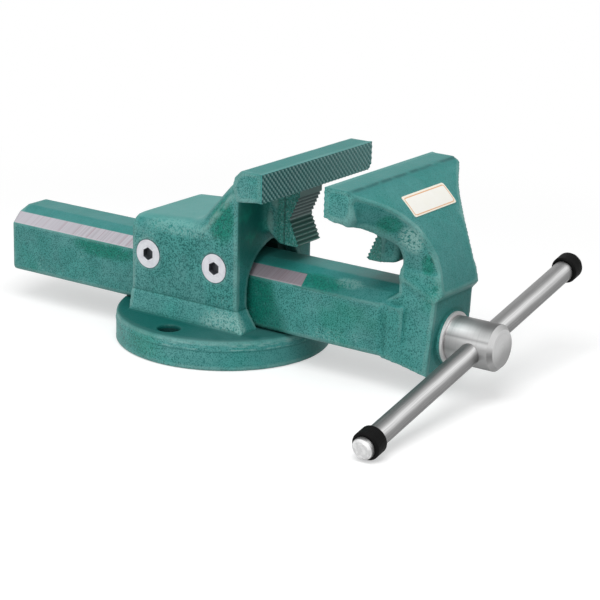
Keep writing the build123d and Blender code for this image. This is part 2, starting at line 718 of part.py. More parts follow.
def ring_at(outer, inner, start, end):
    """Flat or tubular ring on the spindle's line."""
    hole = rod(inner, start - hidden, end + hidden, "X", (0, spindle_height))
    return rod(outer, start, end, "X", (0, spindle_height)) - hole


def thrust_washer():
    return ring_at(washer_radius, journal_radius + 4 * running_clearance, seat_face_x,
                   seat_face_x + washer_thickness)


def spindle_bush():
    return ring_at(bush_radius, journal_radius + running_clearance, channel_end_x, seat_face_x)


def spring_washer():
    start = channel_end_x - spring_washer_thickness
    return ring_at(collar_radius, thread_radius + 3 * running_clearance, start - spring_play,
                   start + spring_washer_thickness - spring_play)


def take_up_spring():
    """Short coil spring that takes the end play out of the spindle."""
    mean = thread_radius + spring_wire_radius + spring_bore_play
    length = spring_length() - 2 * spring_wire_radius
    path = Helix(length / spring_turns, length, mean)
    wire = Plane(origin=path @ 0, z_dir=path % 0) * Circle(spring_wire_radius)
    coil = sweep(wire, path=path, is_frenet=True)
    start = channel_end_x - spring_washer_thickness - 2 * spring_play - spring_length()
    return Pos(start + spring_wire_radius + spring_play, 0, spindle_height) * Rot(0, 90, 0) * coil


def retaining_collar():
    start = collar_x() - collar_length / 2
    collar = ring_at(collar_radius, thread_radius, start, start + collar_length)
    reach = 2 * collar_radius
    return collar - rod(collar_pin_radius, spindle_height - reach, spindle_height + reach, "Z", (collar_x(), 0))


def collar_pin():
    half = collar_radius - collar_pin_inset
    return rod(collar_pin_radius, spindle_height - half, spindle_height + half, "Z", (collar_x(), 0))


# ------------------------------------------------------------------ spindle nut
def spindle_nut():
    half = channel_half - nut_side_clearance
    edges = [Polyline((-half, spindle_height), (-half, base_thickness), (half, base_thickness),
                      (half, spindle_height)),
             ThreePointArc((half, spindle_height), (0, spindle_height + half), (-half, spindle_height))]
    start = nut_centre_x - nut_length / 2
    shape = along(make_face([edge for curve in edges for edge in curve.edges()]), start, start + nut_length)
    shape -= rod(thread_radius + thread_play, start - hidden, start + nut_length + hidden, "X",
                 (0, spindle_height))
    for x in nut_bolt_places():
        shape -= rod(nut_bolt_radius + thread_play, base_thickness - hidden, spindle_height, "Z", (x, 0))
    return shape


def nut_bolt(x):
    """Socket-head bolt up through the base into the nut, clear of the spindle."""
    top = spindle_height - thread_radius - nut_bolt_tip_gap
    head_low = counterbore_cover
    head = rod(nut_bolt_head_radius, head_low, head_low + nut_bolt_head_height, "Z", (x, 0))
    head = chamfer(head.edges().group_by(Axis.Z)[0], nut_bolt_head_chamfer)
    shank = rod(nut_bolt_radius, head_low + nut_bolt_head_height - hidden, top, "Z", (x, 0))
    socket = extrude(Plane.XY.offset(head_low - hidden) * Pos(x, 0) * RegularPolygon(nut_bolt_key / sqrt(3), 6),
                     amount=nut_bolt_key_depth + hidden)
    return head + shank - socket


def nut_bolt_washer(x):
    low = counterbore_cover + nut_bolt_head_height
    high = low + nut_washer_thickness
    ring = rod(nut_washer_radius, low, high, "Z", (x, 0))
    return ring - rod(nut_bolt_radius + bolt_hole_play, low - hidden, high + hidden, "Z", (x, 0))


# ------------------------------------------------------------------ T-bar
def on_bar(shape):
    """Places a shape built along Y from the spindle axis onto the tilted bar."""
    return Pos(bar_x, 0, spindle_height) * Rot(bar_angle, 0, 0) * shape


def handle_bar():
    bar = rod(bar_radius, -bar_near, bar_far, "Y")
    bar = chamfer(bar.edges().filter_by(GeomType.CIRCLE), bar_end_chamfer)
    for start in (-bar_near + ring_set_in, bar_far - ring_set_in - ring_length):
        groove = rod(bar_radius + hidden, start, start + ring_length, "Y") - rod(
            bar_radius - ring_groove, start - hidden, start + ring_length + hidden, "Y")
        bar -= groove
    return on_bar(bar)


def buffer_ring(start):
    """Rubber ring that sits in its groove near the bar's end."""
    ring = rod(ring_radius, start, start + ring_length, "Y")
    ring = fillet(ring.edges().filter_by(GeomType.CIRCLE), ring_edge)
    return on_bar(ring - rod(bar_radius - ring_groove, start - hidden, start + ring_length + hidden, "Y"))


# ------------------------------------------------------------------ output
nodes = {
    "fixed_body": fixed_body(),
    "pipe_jaw_fixed": pipe_jaw(pipe_back_fixed, 1, pipe_centre_fixed, pipe_top_fixed),
    "pipe_jaw_pins_fixed": pipe_jaw_pins(pipe_back_fixed, 1, pipe_centre_fixed),
    "guide_gib_left": gib(1),
    "guide_gib_right": gib(-1),
    "gib_screws_left": [gib_screw(x, 1) for x in gib_screw_x],
    "gib_screws_right": [gib_screw(x, -1) for x in gib_screw_x],
    "spindle_nut": spindle_nut(),
    "nut_bolts": [nut_bolt(x) for x in nut_bolt_places()],
    "nut_bolt_washers": [nut_bolt_washer(x) for x in nut_bolt_places()],
    "moving_jaw": moving_jaw(),
    "pipe_jaw_moving": pipe_jaw(pipe_back_moving, -1, pipe_centre_moving, pipe_top_moving),
    "pipe_jaw_pins_moving": pipe_jaw_pins(pipe_back_moving, -1, pipe_centre_moving),
    "blank_label": blank_label(),
    "spindle_bush": spindle_bush(),
    "spindle": spindle(),
    "thrust_washer": thrust_washer(),
    "spring_washer": spring_washer(),
    "take_up_spring": take_up_spring(),
    "retaining_collar": retaining_collar(),
    "collar_pin": collar_pin(),
    "handle_bar": handle_bar(),
    "buffer_ring_near": buffer_ring(-bar_near + ring_set_in),
    "buffer_ring_far": buffer_ring(bar_far - ring_set_in - ring_length),
}

os.makedirs("parts", exist_ok=True)
for name, shape in nodes.items():
    solid = Compound(children=list(shape)) if isinstance(shape, list) else shape
    export_step(solid, f"parts/{name}.step")
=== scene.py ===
"""Looks of a forged bench vise: painted forgings with rounded edges, knurled gripping faces, a turned
spindle with its thread, and finishes for every smaller piece.

Meshes are in metres in the part's own frame. Materials read their Object coordinates in millimetres.
"""
import functools
import json
import math

import bmesh
import bpy
import numpy as np
from mathutils import Matrix, Vector
from mathutils.bvhtree import BVHTree


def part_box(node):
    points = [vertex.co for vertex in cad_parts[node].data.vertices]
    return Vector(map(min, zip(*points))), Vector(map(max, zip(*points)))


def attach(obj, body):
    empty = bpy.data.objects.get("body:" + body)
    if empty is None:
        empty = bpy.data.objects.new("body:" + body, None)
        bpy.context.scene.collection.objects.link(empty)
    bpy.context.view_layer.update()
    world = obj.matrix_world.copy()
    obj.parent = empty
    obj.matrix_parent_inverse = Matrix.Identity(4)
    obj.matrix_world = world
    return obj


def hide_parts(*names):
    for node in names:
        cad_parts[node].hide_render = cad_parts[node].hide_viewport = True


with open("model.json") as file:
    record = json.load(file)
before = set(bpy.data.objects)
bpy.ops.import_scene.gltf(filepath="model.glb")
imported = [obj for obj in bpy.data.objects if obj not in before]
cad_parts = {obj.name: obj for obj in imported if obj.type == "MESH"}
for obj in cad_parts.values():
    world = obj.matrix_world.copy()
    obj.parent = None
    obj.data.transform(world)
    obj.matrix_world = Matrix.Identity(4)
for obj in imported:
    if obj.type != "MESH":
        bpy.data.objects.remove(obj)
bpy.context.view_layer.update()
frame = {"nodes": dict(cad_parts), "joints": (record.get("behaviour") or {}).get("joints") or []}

MM = 0.001
FORGING_CELL = 1.1 * MM  # squares of the forgings' even mesh
ROUNDING_STEPS = 36  # of which the first two round every edge
TOOTH_HEIGHT = 0.7 * MM
FACE_HEIGHT = 17.6 * MM  # of the gripping faces
KNURL_PITCH = 2.63 * MM
KNURL_SLAB = 1.3 * MM
KNURL_CHAMFER = 0.45 * MM
KNURL_COLUMNS, KNURL_ROWS = 391, 59  # corners of the knurl's grid
CORNER_CUT = 3.4 * MM  # cut at the gripping faces' lower corner: along and up
CORNER_DROP = 4.4 * MM
JAW_OPENING = 43.0 * MM
THREAD_PITCH = 4.0 * MM
THREAD_RADIUS = 10.0 * MM
THREAD_DEPTH = 2.25 * MM
THREAD_SIDES, THREAD_STEPS = 40, 900  # faces round the thread and along it
JOURNAL_X = 150.0 * MM
THROAT_CENTRE = (122.8 * MM, 88.7 * MM)
THROAT_RADIUS = 21.5 * MM

# In plain millimetres, as the materials read them. The forgings' relief shares some of these.
RIM_LIMIT = 22.0  # all of the base's rim lies under it
FLASH_LINE = 14.0  # height of the parting line round the base
FOOT_CREASE = 34.7  # height of the crease over the flared foot
# HOLE_EDGE bounds the painted shade in the holding-down holes.
HOLE_PLACE, HOLE_EDGE = 57.2, 7.5  # the holding-down holes' distance out, and edge of their dark
FOLD_X, FOLD_Z, FOLD_SLOPE = 12.6, 83.5, 1.18  # a point of the neck's fold, and its rise
BRACKET_SIDE, BRACKET_FOOT = 13.7, 73.0  # limits round the pipe jaws' brackets
JAW_CREASE = 131.8
FACET_END = 76.1  # where the milled part of the rail's facets ends
LABEL_HALF_HEIGHT = 7.4  # along the slope

body_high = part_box("fixed_body")[1]
slide_low, slide_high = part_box("moving_jaw")
spindle_low, spindle_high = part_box("spindle")
label_low, label_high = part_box("blank_label")
screws_low, screws_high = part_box("gib_screws_right")
FIXED_FACE_X = body_high.x
MOVING_FACE_X = FIXED_FACE_X + JAW_OPENING
FACE_TOP = body_high.z
FIXED_SEAT_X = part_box("pipe_jaw_fixed")[0].x
MOVING_SEAT_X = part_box("pipe_jaw_moving")[1].x
JAW_WIDTH = slide_high.y - slide_low.y
RIM_START = body_high.y - 2.2 * MM  # over this radius all counts as the base's rim
RIM_FULL = body_high.y - 1.2 * MM
SPINDLE_HEIGHT = (spindle_low.z + spindle_high.z) / 2
SPINDLE_TAIL_X = spindle_low.x
HEAD_END_X = spindle_high.x
SCREW_RADIUS = (screws_high.z - screws_low.z) / 2
SCREW_HEIGHT = (screws_high.z + screws_low.z) / 2
HANDLE_WAY = next(Vector(joint["axis"]) for joint in frame["joints"] if joint["name"] == "handle_slide")


# ---------- node trees written as sums
class Value:
    """A socket that takes part in Python sums, each of which adds a Math node."""

    def __init__(self, tree, socket):
        self.tree = tree
        self.socket = socket

    def math(self, operation, *others, clamp=False):
        sockets = dict(enumerate((self, *others)))
        return self.tree.node("ShaderNodeMath", {"operation": operation, "use_clamp": clamp}, sockets)

    def flipped(self, operation, other):
        return self.tree.node("ShaderNodeMath", {"operation": operation}, {0: other, 1: self})

    def __add__(self, other):
        return self.math("ADD", other)

    def __sub__(self, other):
        return self.math("SUBTRACT", other)

    def __mul__(self, other):
        return self.math("MULTIPLY", other)

    def __truediv__(self, other):
        return self.math("DIVIDE", other)

    def __lt__(self, other):
        return self.math("LESS_THAN", other)

    def __gt__(self, other):
        return self.math("GREATER_THAN", other)

    def __radd__(self, other):
        return self.flipped("ADD", other)

    def __rsub__(self, other):
        return self.flipped("SUBTRACT", other)

    def __rmul__(self, other):
        return self.flipped("MULTIPLY", other)

    def __rtruediv__(self, other):
        return self.flipped("DIVIDE", other)

    def __neg__(self):
        return self.math("MULTIPLY", -1.0)

    def __abs__(self):
        return self.math("ABSOLUTE")

    def at_most(self, other):
        return self.math("MINIMUM", other)

    def at_least(self, other):
        return self.math("MAXIMUM", other)

    def clamped(self):
        return self.math("ADD", 0.0, clamp=True)

    def rise(self, start, end):
        """0 before start, 1 after end and a soft slope between; it falls where end is under start."""
        share = ((self - start) / (end - start)).clamped()
        return share * share * (3.0 - 2.0 * share)

    def within(self, low, high, soft):
        """1 between low and high, with soft borders."""
        return self.rise(low - soft, low + soft) * self.rise(high + soft, high - soft)

    def length_with(self, other):
        """Length of a way with two parts at right angles."""
        return (self * self + other * other).math("SQRT")

    def turn(self, across):
        """Share of a full turn, from 0 to 1, of the way with this part up and another across."""
        return self.math("ARCTAN2", across) / (2 * math.pi) + 0.5

    def zigzag(self):
        """A triangle wave of period 1 between 0 and 1, with its crest in the middle."""
        return 1.0 - 2.0 * abs(self.math("FRACT") - 0.5)


class Tree:
    """A node tree that is built by one method for all nodes."""

    def __init__(self, node_tree):
        self.node_tree = node_tree

    def node(self, kind, settings=None, sockets=None, output=0):
        made = self.node_tree.nodes.new(kind)
        for name, setting in (settings or {}).items():
            if name == "stops":
                self.set_stops(made.color_ramp.elements, setting)
            else:
                setattr(made, name, setting)
        for name, given in (sockets or {}).items():
            socket = made.inputs[name]
            if isinstance(given, Value):
                self.node_tree.links.new(given.socket, socket)
            else:
                socket.default_value = given
        return Value(self, made.outputs[output]) if made.outputs else None

    def set_stops(self, elements, stops):
        while len(elements) < len(stops):
            elements.new(1.0)
        for element, (position, colour) in zip(elements, stops):
            element.position = position
            element.color = colour

    def outputs(self, made):
        """All outputs of a value's node, by their names."""
        return {socket.name: Value(self, socket) for socket in made.socket.node.outputs}

    def split(self, vector):
        """The three parts of a vector."""
        return self.outputs(self.node("ShaderNodeSeparateXYZ", sockets={0: vector})).values()

    def joined(self, x, y, z):
        return self.node("ShaderNodeCombineXYZ", sockets={0: x, 1: y, 2: z})

    def mix(self, share, first, second):
        """A mix of two colours."""
        return self.node("ShaderNodeMix", {"data_type": "RGBA"}, {0: share, 6: first, 7: second}, output=2)

    def over(self, tone, share, *levels):
        """A tone under a share of a colour, which is given in screen values."""
        return self.mix(share, tone, colour(*levels))


class Finish(Tree):
    """A material of one principled surface."""

    def __init__(self, name):
        self.material = bpy.data.materials.new(name)
        self.material.use_nodes = True
        super().__init__(self.material.node_tree)
        self.node_tree.nodes.clear()
        self.place = self.node("ShaderNodeTexCoord", output=3)
        self.x, self.y, self.z = [part / MM for part in self.split(self.place)]

    def attribute(self, name):
        return self.node("ShaderNodeAttribute", {"attribute_name": name}, output=2)

    def noise(self, size, detail=2.0, at=None, roughness=0.5):
        """Noise whose features are about size millimetres across."""
        place = self.node("ShaderNodeVectorMath", {"operation": "SCALE"},
                          {0: at or self.place, "Scale": 1.0 / (size * MM)})
        return self.node("ShaderNodeTexNoise", {"normalize": True},
                         {"Vector": place, "Scale": 1.0, "Detail": detail, "Roughness": roughness})

    def place_from(self, start):
        """The place, moved by start metres each way, for a noise that differs from its neighbours."""
        return self.node("ShaderNodeVectorMath", {"operation": "ADD"},
                         {0: self.place, 1: (start, start, start)})

    def ramp(self, value, stops):
        """Greys along a value, given as pairs of place and screen value."""
        greys = [(position, grey(level)) for position, level in stops]
        return self.node("ShaderNodeValToRGB", {"stops": greys}, {0: value})

    def bump(self, height, depth, strength=1.0):
        """Normal of a relief of depth millimetres."""
        return self.node("ShaderNodeBump", sockets={"Height": height, "Distance": depth * MM,
                                                    "Strength": strength})

    def surface(self, **sockets):
        """Ends the tree with one principled surface."""
        titles = [name.replace("_", " ").title().replace("Ior", "IOR") for name in sockets]
        shader = self.node("ShaderNodeBsdfPrincipled", sockets=dict(zip(titles, sockets.values())))
        self.node("ShaderNodeOutputMaterial", sockets={0: shader})
        return self.material


def colour(red, green, blue):
    """A colour written in screen values from 0 to 255."""
    parts = [part / 255 for part in (red, green, blue)]
    return [part / 12.92 if part < 0.04045 else ((part + 0.055) / 1.055) ** 2.4 for part in parts] + [1.0]


def grey(level):
    return colour(level, level, level)


# ---------- finishes
PAINT = colour(56, 142, 138)
PAINT_PALE = colour(86, 168, 162)
PAINT_DEEP = colour(24, 98, 94)

# Painted reflections on the bright steel: greys by the share of a turn round its axis.
HEAD_REFLECTION_BY_BLOCK = (
    (0.0, 128), (0.15, 110), (0.264, 155), (0.312, 190), (0.346, 232), (0.376, 240), (0.404, 200),
    (0.43, 150), (0.443, 184), (0.482, 158), (0.523, 141), (0.555, 172), (0.595, 164), (0.685, 118),
    (0.8, 140), (1.0, 128))
HEAD_REFLECTION_BY_END = (
    (0.0, 128), (0.2, 96), (0.264, 95), (0.312, 116), (0.362, 156), (0.39, 170), (0.415, 190), (0.43, 160),
    (0.445, 205), (0.458, 206), (0.482, 172), (0.509, 208), (0.54, 170), (0.573, 163), (0.622, 150),
    (0.685, 90), (0.8, 120), (1.0, 128))
CHAMFER_REFLECTION = (
    (0.0, 160), (0.2, 170), (0.34, 206), (0.45, 208), (0.5, 140), (0.52, 122), (0.55, 130), (0.59, 158),
    (0.66, 140), (0.8, 150), (1.0, 160))
# Painted reflections on the handle bar, by the share of a turn round it.
BAR_REFLECTION = (
    (0.0, 120), (0.034, 136), (0.055, 145), (0.077, 186), (0.095, 206), (0.117, 230), (0.143, 225),
    (0.17, 174), (0.196, 141), (0.226, 127), (0.282, 138), (0.36, 122), (0.45, 140), (0.55, 176),
    (0.65, 120), (0.75, 110), (0.86, 90), (0.92, 120), (0.96, 96), (0.985, 118), (1.0, 130))


def zone(finish, centre, radii, strength=1.0):
    """A soft spot on both sides of the middle, at its full strength in its centre."""
    x, y, z = [(place - middle) / radius for place, middle, radius in
               zip((finish.x, abs(finish.y), finish.z), centre, radii)]
    return (x * x + y * y + z * z).rise(1.1, 0.15) * strength


def zones(finish, *spots):
    """The strongest of several soft spots."""
    return functools.reduce(Value.at_least, [zone(finish, *spot) for spot in spots])


def paint_layers(finish, thick_paint_and_shade, glint, share, bite):
    """Colour, roughness and relief of hammertone paint.

    It is pale by a share and its specks are as strong as bite. The third mask marks darker patches,
    partly thick smooth paint and partly painted shade, and glint marks painted highlights on its crests.
    """
    edge, recess, even = [finish.attribute(name) for name in ("edge", "recess", "even")]
    grain = finish.noise(0.8, roughness=0.6)
    wide = finish.noise(3.0)
    patch = finish.noise(26.0, detail=3.0, roughness=0.55).rise(0.4, 0.62)
    speck = (grain * 0.86 + wide * 0.14).rise(0.33, 0.56)
    lush = finish.noise(38.0, at=finish.place_from(0.31)).rise(0.54, 0.72) * (1.0 - even) * 0.6
    lush = lush.at_least(thick_paint_and_shade * wide.rise(0.3, 0.55) * 0.85)
    deep = finish.over(finish.over(PAINT_DEEP, patch, 42, 110, 108), lush, 0, 106, 88)
    pale = finish.over(finish.over(PAINT_PALE, patch, 98, 167, 163), lush * 0.85, 46, 150, 134)
    blotch = (finish.noise(9.0) - 0.5) * 0.6 - thick_paint_and_shade * 0.16
    swing = (blotch + (speck - 0.62) * (bite + thick_paint_and_shade * 0.5)) * (1.0 - even * 0.72)
    # Faces that look up or forward are toned darker and bluer: painted shade against the strong top light.
    tone = finish.mix(share - even * 0.1 + swing, deep, pale)
    tone = finish.over(tone, even * 0.3, 0, 134, 131)
    # Darker patches of thick smooth paint, which also stand for painted shade.
    dark_patch_tone = finish.mix(speck, colour(0, 76, 68), colour(8, 128, 110))
    tone = finish.mix(thick_paint_and_shade * finish.noise(5.0).rise(0.3, 0.55) * 0.72, tone, dark_patch_tone)
    # Pale dots and veins laid on the sides and in the glint places: painted highlights.
    bright = finish.noise(0.95).rise(0.5, 0.6) * (wide.rise(0.36, 0.62) * 0.6 + 0.4)
    shine = finish.noise(31.0, at=finish.place_from(0.77)).rise(0.56, 0.7) * 0.45 * (1.0 - even)
    tone = finish.over(tone, shine * bright * 0.6, 166, 208, 203)
    veins = (1.0 - abs(finish.noise(2.6) * 2.0 - 1.0)).rise(0.78, 0.96)
    tone = finish.over(tone, glint * bright.at_least(veins) * 0.85, 158, 204, 198)
    # Painted shade in concave edges and recesses.
    recess_shade = ((-edge).rise(0.1, 0.7) * 0.55 + recess.rise(0.3, 0.8)).clamped()
    tone = finish.over(tone, recess_shade * 0.75, 0, 86, 77)
    # Paler convex edges: wear and painted highlight.
    worn_and_highlit_edge = edge.rise(0.2, 0.75) * (patch * 0.5 + 0.5)
    tone = finish.over(tone, worn_and_highlit_edge * 0.34, 142, 186, 180)
    # Darker tops of the jaws: painted shade.
    jaw_top_shade = finish.z.rise(125.0, 129.0) * even
    tone = finish.over(tone, jaw_top_shade * 0.42, 8, 112, 108)
    relief = finish.bump(grain + wide * 0.8, 0.3, 1.0 - even * 0.6)
    return tone, 0.4 + speck * 0.1 + recess_shade * 0.12, relief


def thick_coat(finish, dark, light):
    """Colour and grain of thick dark speckled paint, with small bright dots of fleck and painted glint."""
    grain = finish.noise(1.3, roughness=0.55)
    coat = finish.mix(grain.rise(0.38, 0.62), dark, light)
    return finish.over(coat, finish.noise(0.95).rise(0.54, 0.66) * 0.35, 160, 206, 201), grain


def base_marks(finish, tone, radius, rim):
    """Round base: painted shade on its top and holes, painted highlight and shadow at its parting line."""
    round_way = finish.y.math("ARCTAN2", finish.x) * 11.2  # a sixth of it, for long streaks
    streak = finish.noise(1.0, at=finish.joined(round_way * MM, 0.0, finish.z * 0.9 * MM))
    here_and_there = finish.noise(34.0, detail=1.0)
    over_line = finish.z - FLASH_LINE
    # Painted highlight streaks along the parting line and just over it.
    bands = over_line.within(-0.5, 0.3, 0.4) * 0.8 + over_line.within(1.4, 4.0, 0.8) * 0.6
    bands = rim * bands * streak.rise(0.48, 0.6) * here_and_there.rise(0.4, 0.6)
    tone = finish.over(tone, bands * 0.6, 150, 192, 188)
    # A painted shadow line just under the parting line.
    under = rim * over_line.within(-1.8, -1.0, 0.4) * here_and_there.rise(0.36, 0.56)
    tone = finish.over(tone, under * 0.45, 10, 88, 84)
    # Painted shade on the holding-down holes' walls.
    from_edge = finish.x.length_with(abs(finish.y) - HOLE_PLACE) - HOLE_EDGE
    tone = finish.over(tone, from_edge.rise(0.2, -0.2) * (finish.z < 20.1) * 0.85, 6, 44, 44)
    # Painted shade on the base's top round the body, lighter in patches towards the front.
    top = (radius - RIM_START / MM).rise(1.9, 0.2) * finish.z.rise(21.4, 20.9) * (finish.z > 18.0)
    cloud = finish.noise(30.0).rise(0.4, 0.6) * finish.x.rise(-10.0, 40.0)
    return finish.mix(top * 0.92, tone, finish.mix(cloud, colour(6, 86, 81), colour(48, 102, 99)))


def neck_marks(finish, tone):
    """The neck: painted shade inside, painted light on fold, top and fillets, and the pipe jaw's bracket."""
    side = abs(finish.y)
    # Painted shade on the neck's inner face under the jaw, darker towards the top.
    inner_face_shade = zone(finish, (38.0, 28.0, 90.0), (10.0, 20.0, 38.0)) * (finish.x > 33.0) * (side < 39.5)
    deeper = finish.noise(15.0).rise(0.42, 0.58) * finish.z.rise(112.0, 84.0)
    tone = finish.mix(inner_face_shade * 0.8, tone, finish.mix(deeper, colour(4, 92, 84), colour(0, 130, 108)))
    # A painted highlight along the fold at the neck's foot.
    over_fold = finish.z - FOLD_Z - (finish.x - FOLD_X) * FOLD_SLOPE
    streak = over_fold.within(-5.0, 0.6, 3.0) * (side > 33.0) * finish.z.within(82.0, 108.0, 3.0)
    tone = finish.over(tone, streak * finish.noise(5.0).rise(0.3, 0.6) * 0.5, 146, 186, 180)
    # The body's top beside the neck lighter: painted light.
    lit_body_top = (finish.z > 81.0) * finish.x.rise(16.0, 8.0)
    tone = finish.over(tone, lit_body_top * 0.28, 112, 180, 174)
    # Painted highlights on the bracket's fillets.
    fillet_highlight = zones(finish, ((45.0, 16.0, 86.0), (3.4, 5.0, 15.0)), ((49.5, 15.0, 101.0), (5.5, 5.0, 5.0)))
    tone = finish.over(tone, fillet_highlight * 0.6, 134, 172, 165)
    bracket = finish.x.rise(48.5, 51.5) * (side < BRACKET_SIDE + 0.5)
    bracket = bracket * finish.z.within(BRACKET_FOOT, 110.5, 0.8)
    coat = thick_coat(finish, colour(14, 96, 87), colour(52, 144, 133))[0]
    tone = finish.mix(bracket * 0.8, tone, coat)
    seam = bracket * finish.x.within(54.2, 55.4, 0.4)
    return finish.over(tone, seam * 0.55, 6, 58, 54)


def body_paint():
    """Paint of the fixed forging, with a painted shadow ring round the screws' heads."""
    finish = Finish("hammertone_paint")
    # Darker patches on the neck under the jaw and on the bracket: thick paint and painted shade.
    thick_paint_and_shade = zones(finish, ((27.0, 40.0, 91.0), (11.0, 7.0, 18.0)), ((52.5, 13.0, 86.0), (4.5, 3.0, 18.0), 0.8))
    radius = finish.x.length_with(finish.y)
    rim = radius.rise(RIM_START / MM, RIM_FULL / MM) * (finish.z < RIM_LIMIT)
    # Painted highlights on the foot's front corner, the bracket and the body's shoulder.
    foot_corner_glint = finish.z.within(21.5, 33.4, 1.5) * (1.0 - rim)
    foot_corner_glint = foot_corner_glint * zone(finish, (36.0, 43.0, 25.0), (26.0, 8.0, 12.0), 0.8)
    glint = zones(finish, ((52.0, 13.5, 90.0), (5.5, 3.0, 20.0), 0.25),
                  ((-6.0, 38.0, 80.0), (34.0, 9.0, 6.0), 0.4)).at_least(foot_corner_glint)
    # Paler under the foot's crease, where the flare faces the light: painted light.
    share = 0.52 - finish.z.rise(33.0, 36.0) * 0.18
    tone, gloss, relief = paint_layers(finish, thick_paint_and_shade, glint, share, bite=1.2)
    tone = neck_marks(finish, base_marks(finish, tone, radius, rim))
    # A dark line in the crease over the foot: painted shade.
    crease = finish.z.within(FOOT_CREASE - 0.5, FOOT_CREASE + 0.3, 0.5) * (abs(finish.y) > 30.0)
    tone = finish.over(tone, crease * 0.62, 6, 84, 76)
    # A painted shadow ring in the gap round each screw head.
    head_radius = SCREW_RADIUS / MM
    height = finish.z - SCREW_HEIGHT / MM
    for centre in (screws_low.x / MM + head_radius, screws_high.x / MM - head_radius):
        ring = (finish.x - centre).length_with(height) - head_radius
        bare_and_shade = ring.rise(0.9, 0.2) * (abs(finish.y) - 39.0).rise(0.0, 0.5)
        tone = finish.over(tone, bare_and_shade * 0.75, 66, 92, 100)
    return finish.surface(base_color=tone, roughness=gloss, normal=relief, specular_ior_level=0.2)


def milled_steel(finish):
    """Colour and relief of the rail's milled facets, with slanting cutter marks."""
    cut = finish.x - finish.z * 0.55
    marks = finish.noise(1.0, detail=3.0, at=finish.joined(cut * 0.5 * MM, 0.0, 0.0), roughness=0.75)
    passes = finish.noise(1.0, detail=1.0, at=finish.joined(cut * 0.11 * MM, 0.0, 0.0))
    streaked = finish.x.rise(-150.0, -90.0) * 0.55 + 0.3
    steel = finish.mix(marks.rise(0.34, 0.66) * streaked, colour(194, 192, 199), colour(162, 156, 163))
    steel = finish.over(steel, passes.within(0.455, 0.49, 0.012) * 0.5 * streaked, 156, 122, 132)
    # Darker towards the front, by the arch and under the jaws: painted shade.
    facet_shade = finish.x.rise(20.0, 48.0)
    steel = finish.over(steel, facet_shade * 0.72, 126, 112, 120)
    lower_edge = finish.z.rise(55.1, 54.3)
    return finish.over(steel, lower_edge * 0.4, 206, 204, 208), finish.bump(marks, 0.02, 0.5)


def slide_paint():
    """Slide paint: its milled guide facets, and painted shade under the jaws and in the jaw's rear crease.
    """
    finish = Finish("hammertone_paint_with_milled_facets")
    # Darker patches by the arch, on the facets, in the throat and on the rail: thick paint and painted
    # shade.
    thick_paint_and_shade = zones(finish, ((44.0, 24.0, 42.0), (14.0, 7.0, 22.0)), ((88.0, 19.0, 58.0), (19.0, 7.0, 6.0)),
                ((145.0, 36.0, 107.5), (8.0, 11.0, 7.5)), ((163.0, 20.5, 83.0), (5.5, 6.0, 7.5)),
                ((-80.0, 24.0, 50.0), (30.0, 5.0, 8.0)))
    # Painted highlights in the throat and on the rail's facet.
    glint = zones(finish, ((153.5, 25.0, 97.7), (9.0, 9.0, 12.0)),
                  ((107.0, 17.0, 61.0), (12.0, 5.0, 5.0), 0.5))
    share = 0.49 - finish.x.rise(20.0, -60.0) * 0.1 - finish.x.rise(116.0, 130.0) * 0.05
    tone, gloss, relief = paint_layers(finish, thick_paint_and_shade, glint, share, bite=0.98)
    # The rail's top darker under the jaws: painted shadow.
    jaw_shadow = finish.z.rise(59.5, 62.0) * finish.x.within(36.0, 66.0, 16.0)
    tone = finish.over(tone, jaw_shadow * 0.5, 0, 92, 82)
    side = abs(finish.y)
    # Darker specked paint close by the arch: painted shade; on the painted facets, a patch of thick paint.
    shade_by_arch = (finish.x + finish.z * 0.47).rise(84.0, 72.0) * (side > 22.0) * finish.x.rise(10.0, 36.0)
    on_facet = finish.z.within(53.0, 61.0, 0.3) * finish.x.rise(124.0, 88.0) * (finish.x > 70.0)
    dark_specks = finish.mix(finish.noise(1.1).rise(0.38, 0.6), colour(0, 78, 70), colour(6, 116, 100))
    tone = finish.mix(shade_by_arch.at_least(on_facet * 0.8) * 0.66, tone, dark_specks)
    # A dark line in the crease behind the jaw's flat top, broken up by noise: painted shade.
    crease_shade_breakup = finish.noise(9.0, detail=3.0).rise(0.35, 0.6) * 0.85 + 0.15
    crease = finish.x.within(JAW_CREASE - 1.1, JAW_CREASE + 1.2, 1.1) * (finish.z > 127.0)
    tone = finish.over(tone, crease * crease_shade_breakup * 0.75, 14, 82, 82)
    bare_and_shade = (finish.z.within(54.25, 60.65, 0.15) * (side + finish.z).rise(77.0, 77.35)
            * (side > 16.0) * finish.x.rise(FACET_END + 0.2, FACET_END - 0.2))
    steel, milled = milled_steel(finish)
    tone = finish.mix(bare_and_shade, tone, steel)
    level = finish.node("ShaderNodeMix", {"data_type": "VECTOR"}, {0: bare_and_shade, 4: relief, 5: milled}, output=1)
    return finish.surface(base_color=tone, roughness=gloss * (1.0 - bare_and_shade) + bare_and_shade * 0.46, normal=level,
                          metallic=bare_and_shade * 0.3, specular_ior_level=0.2)


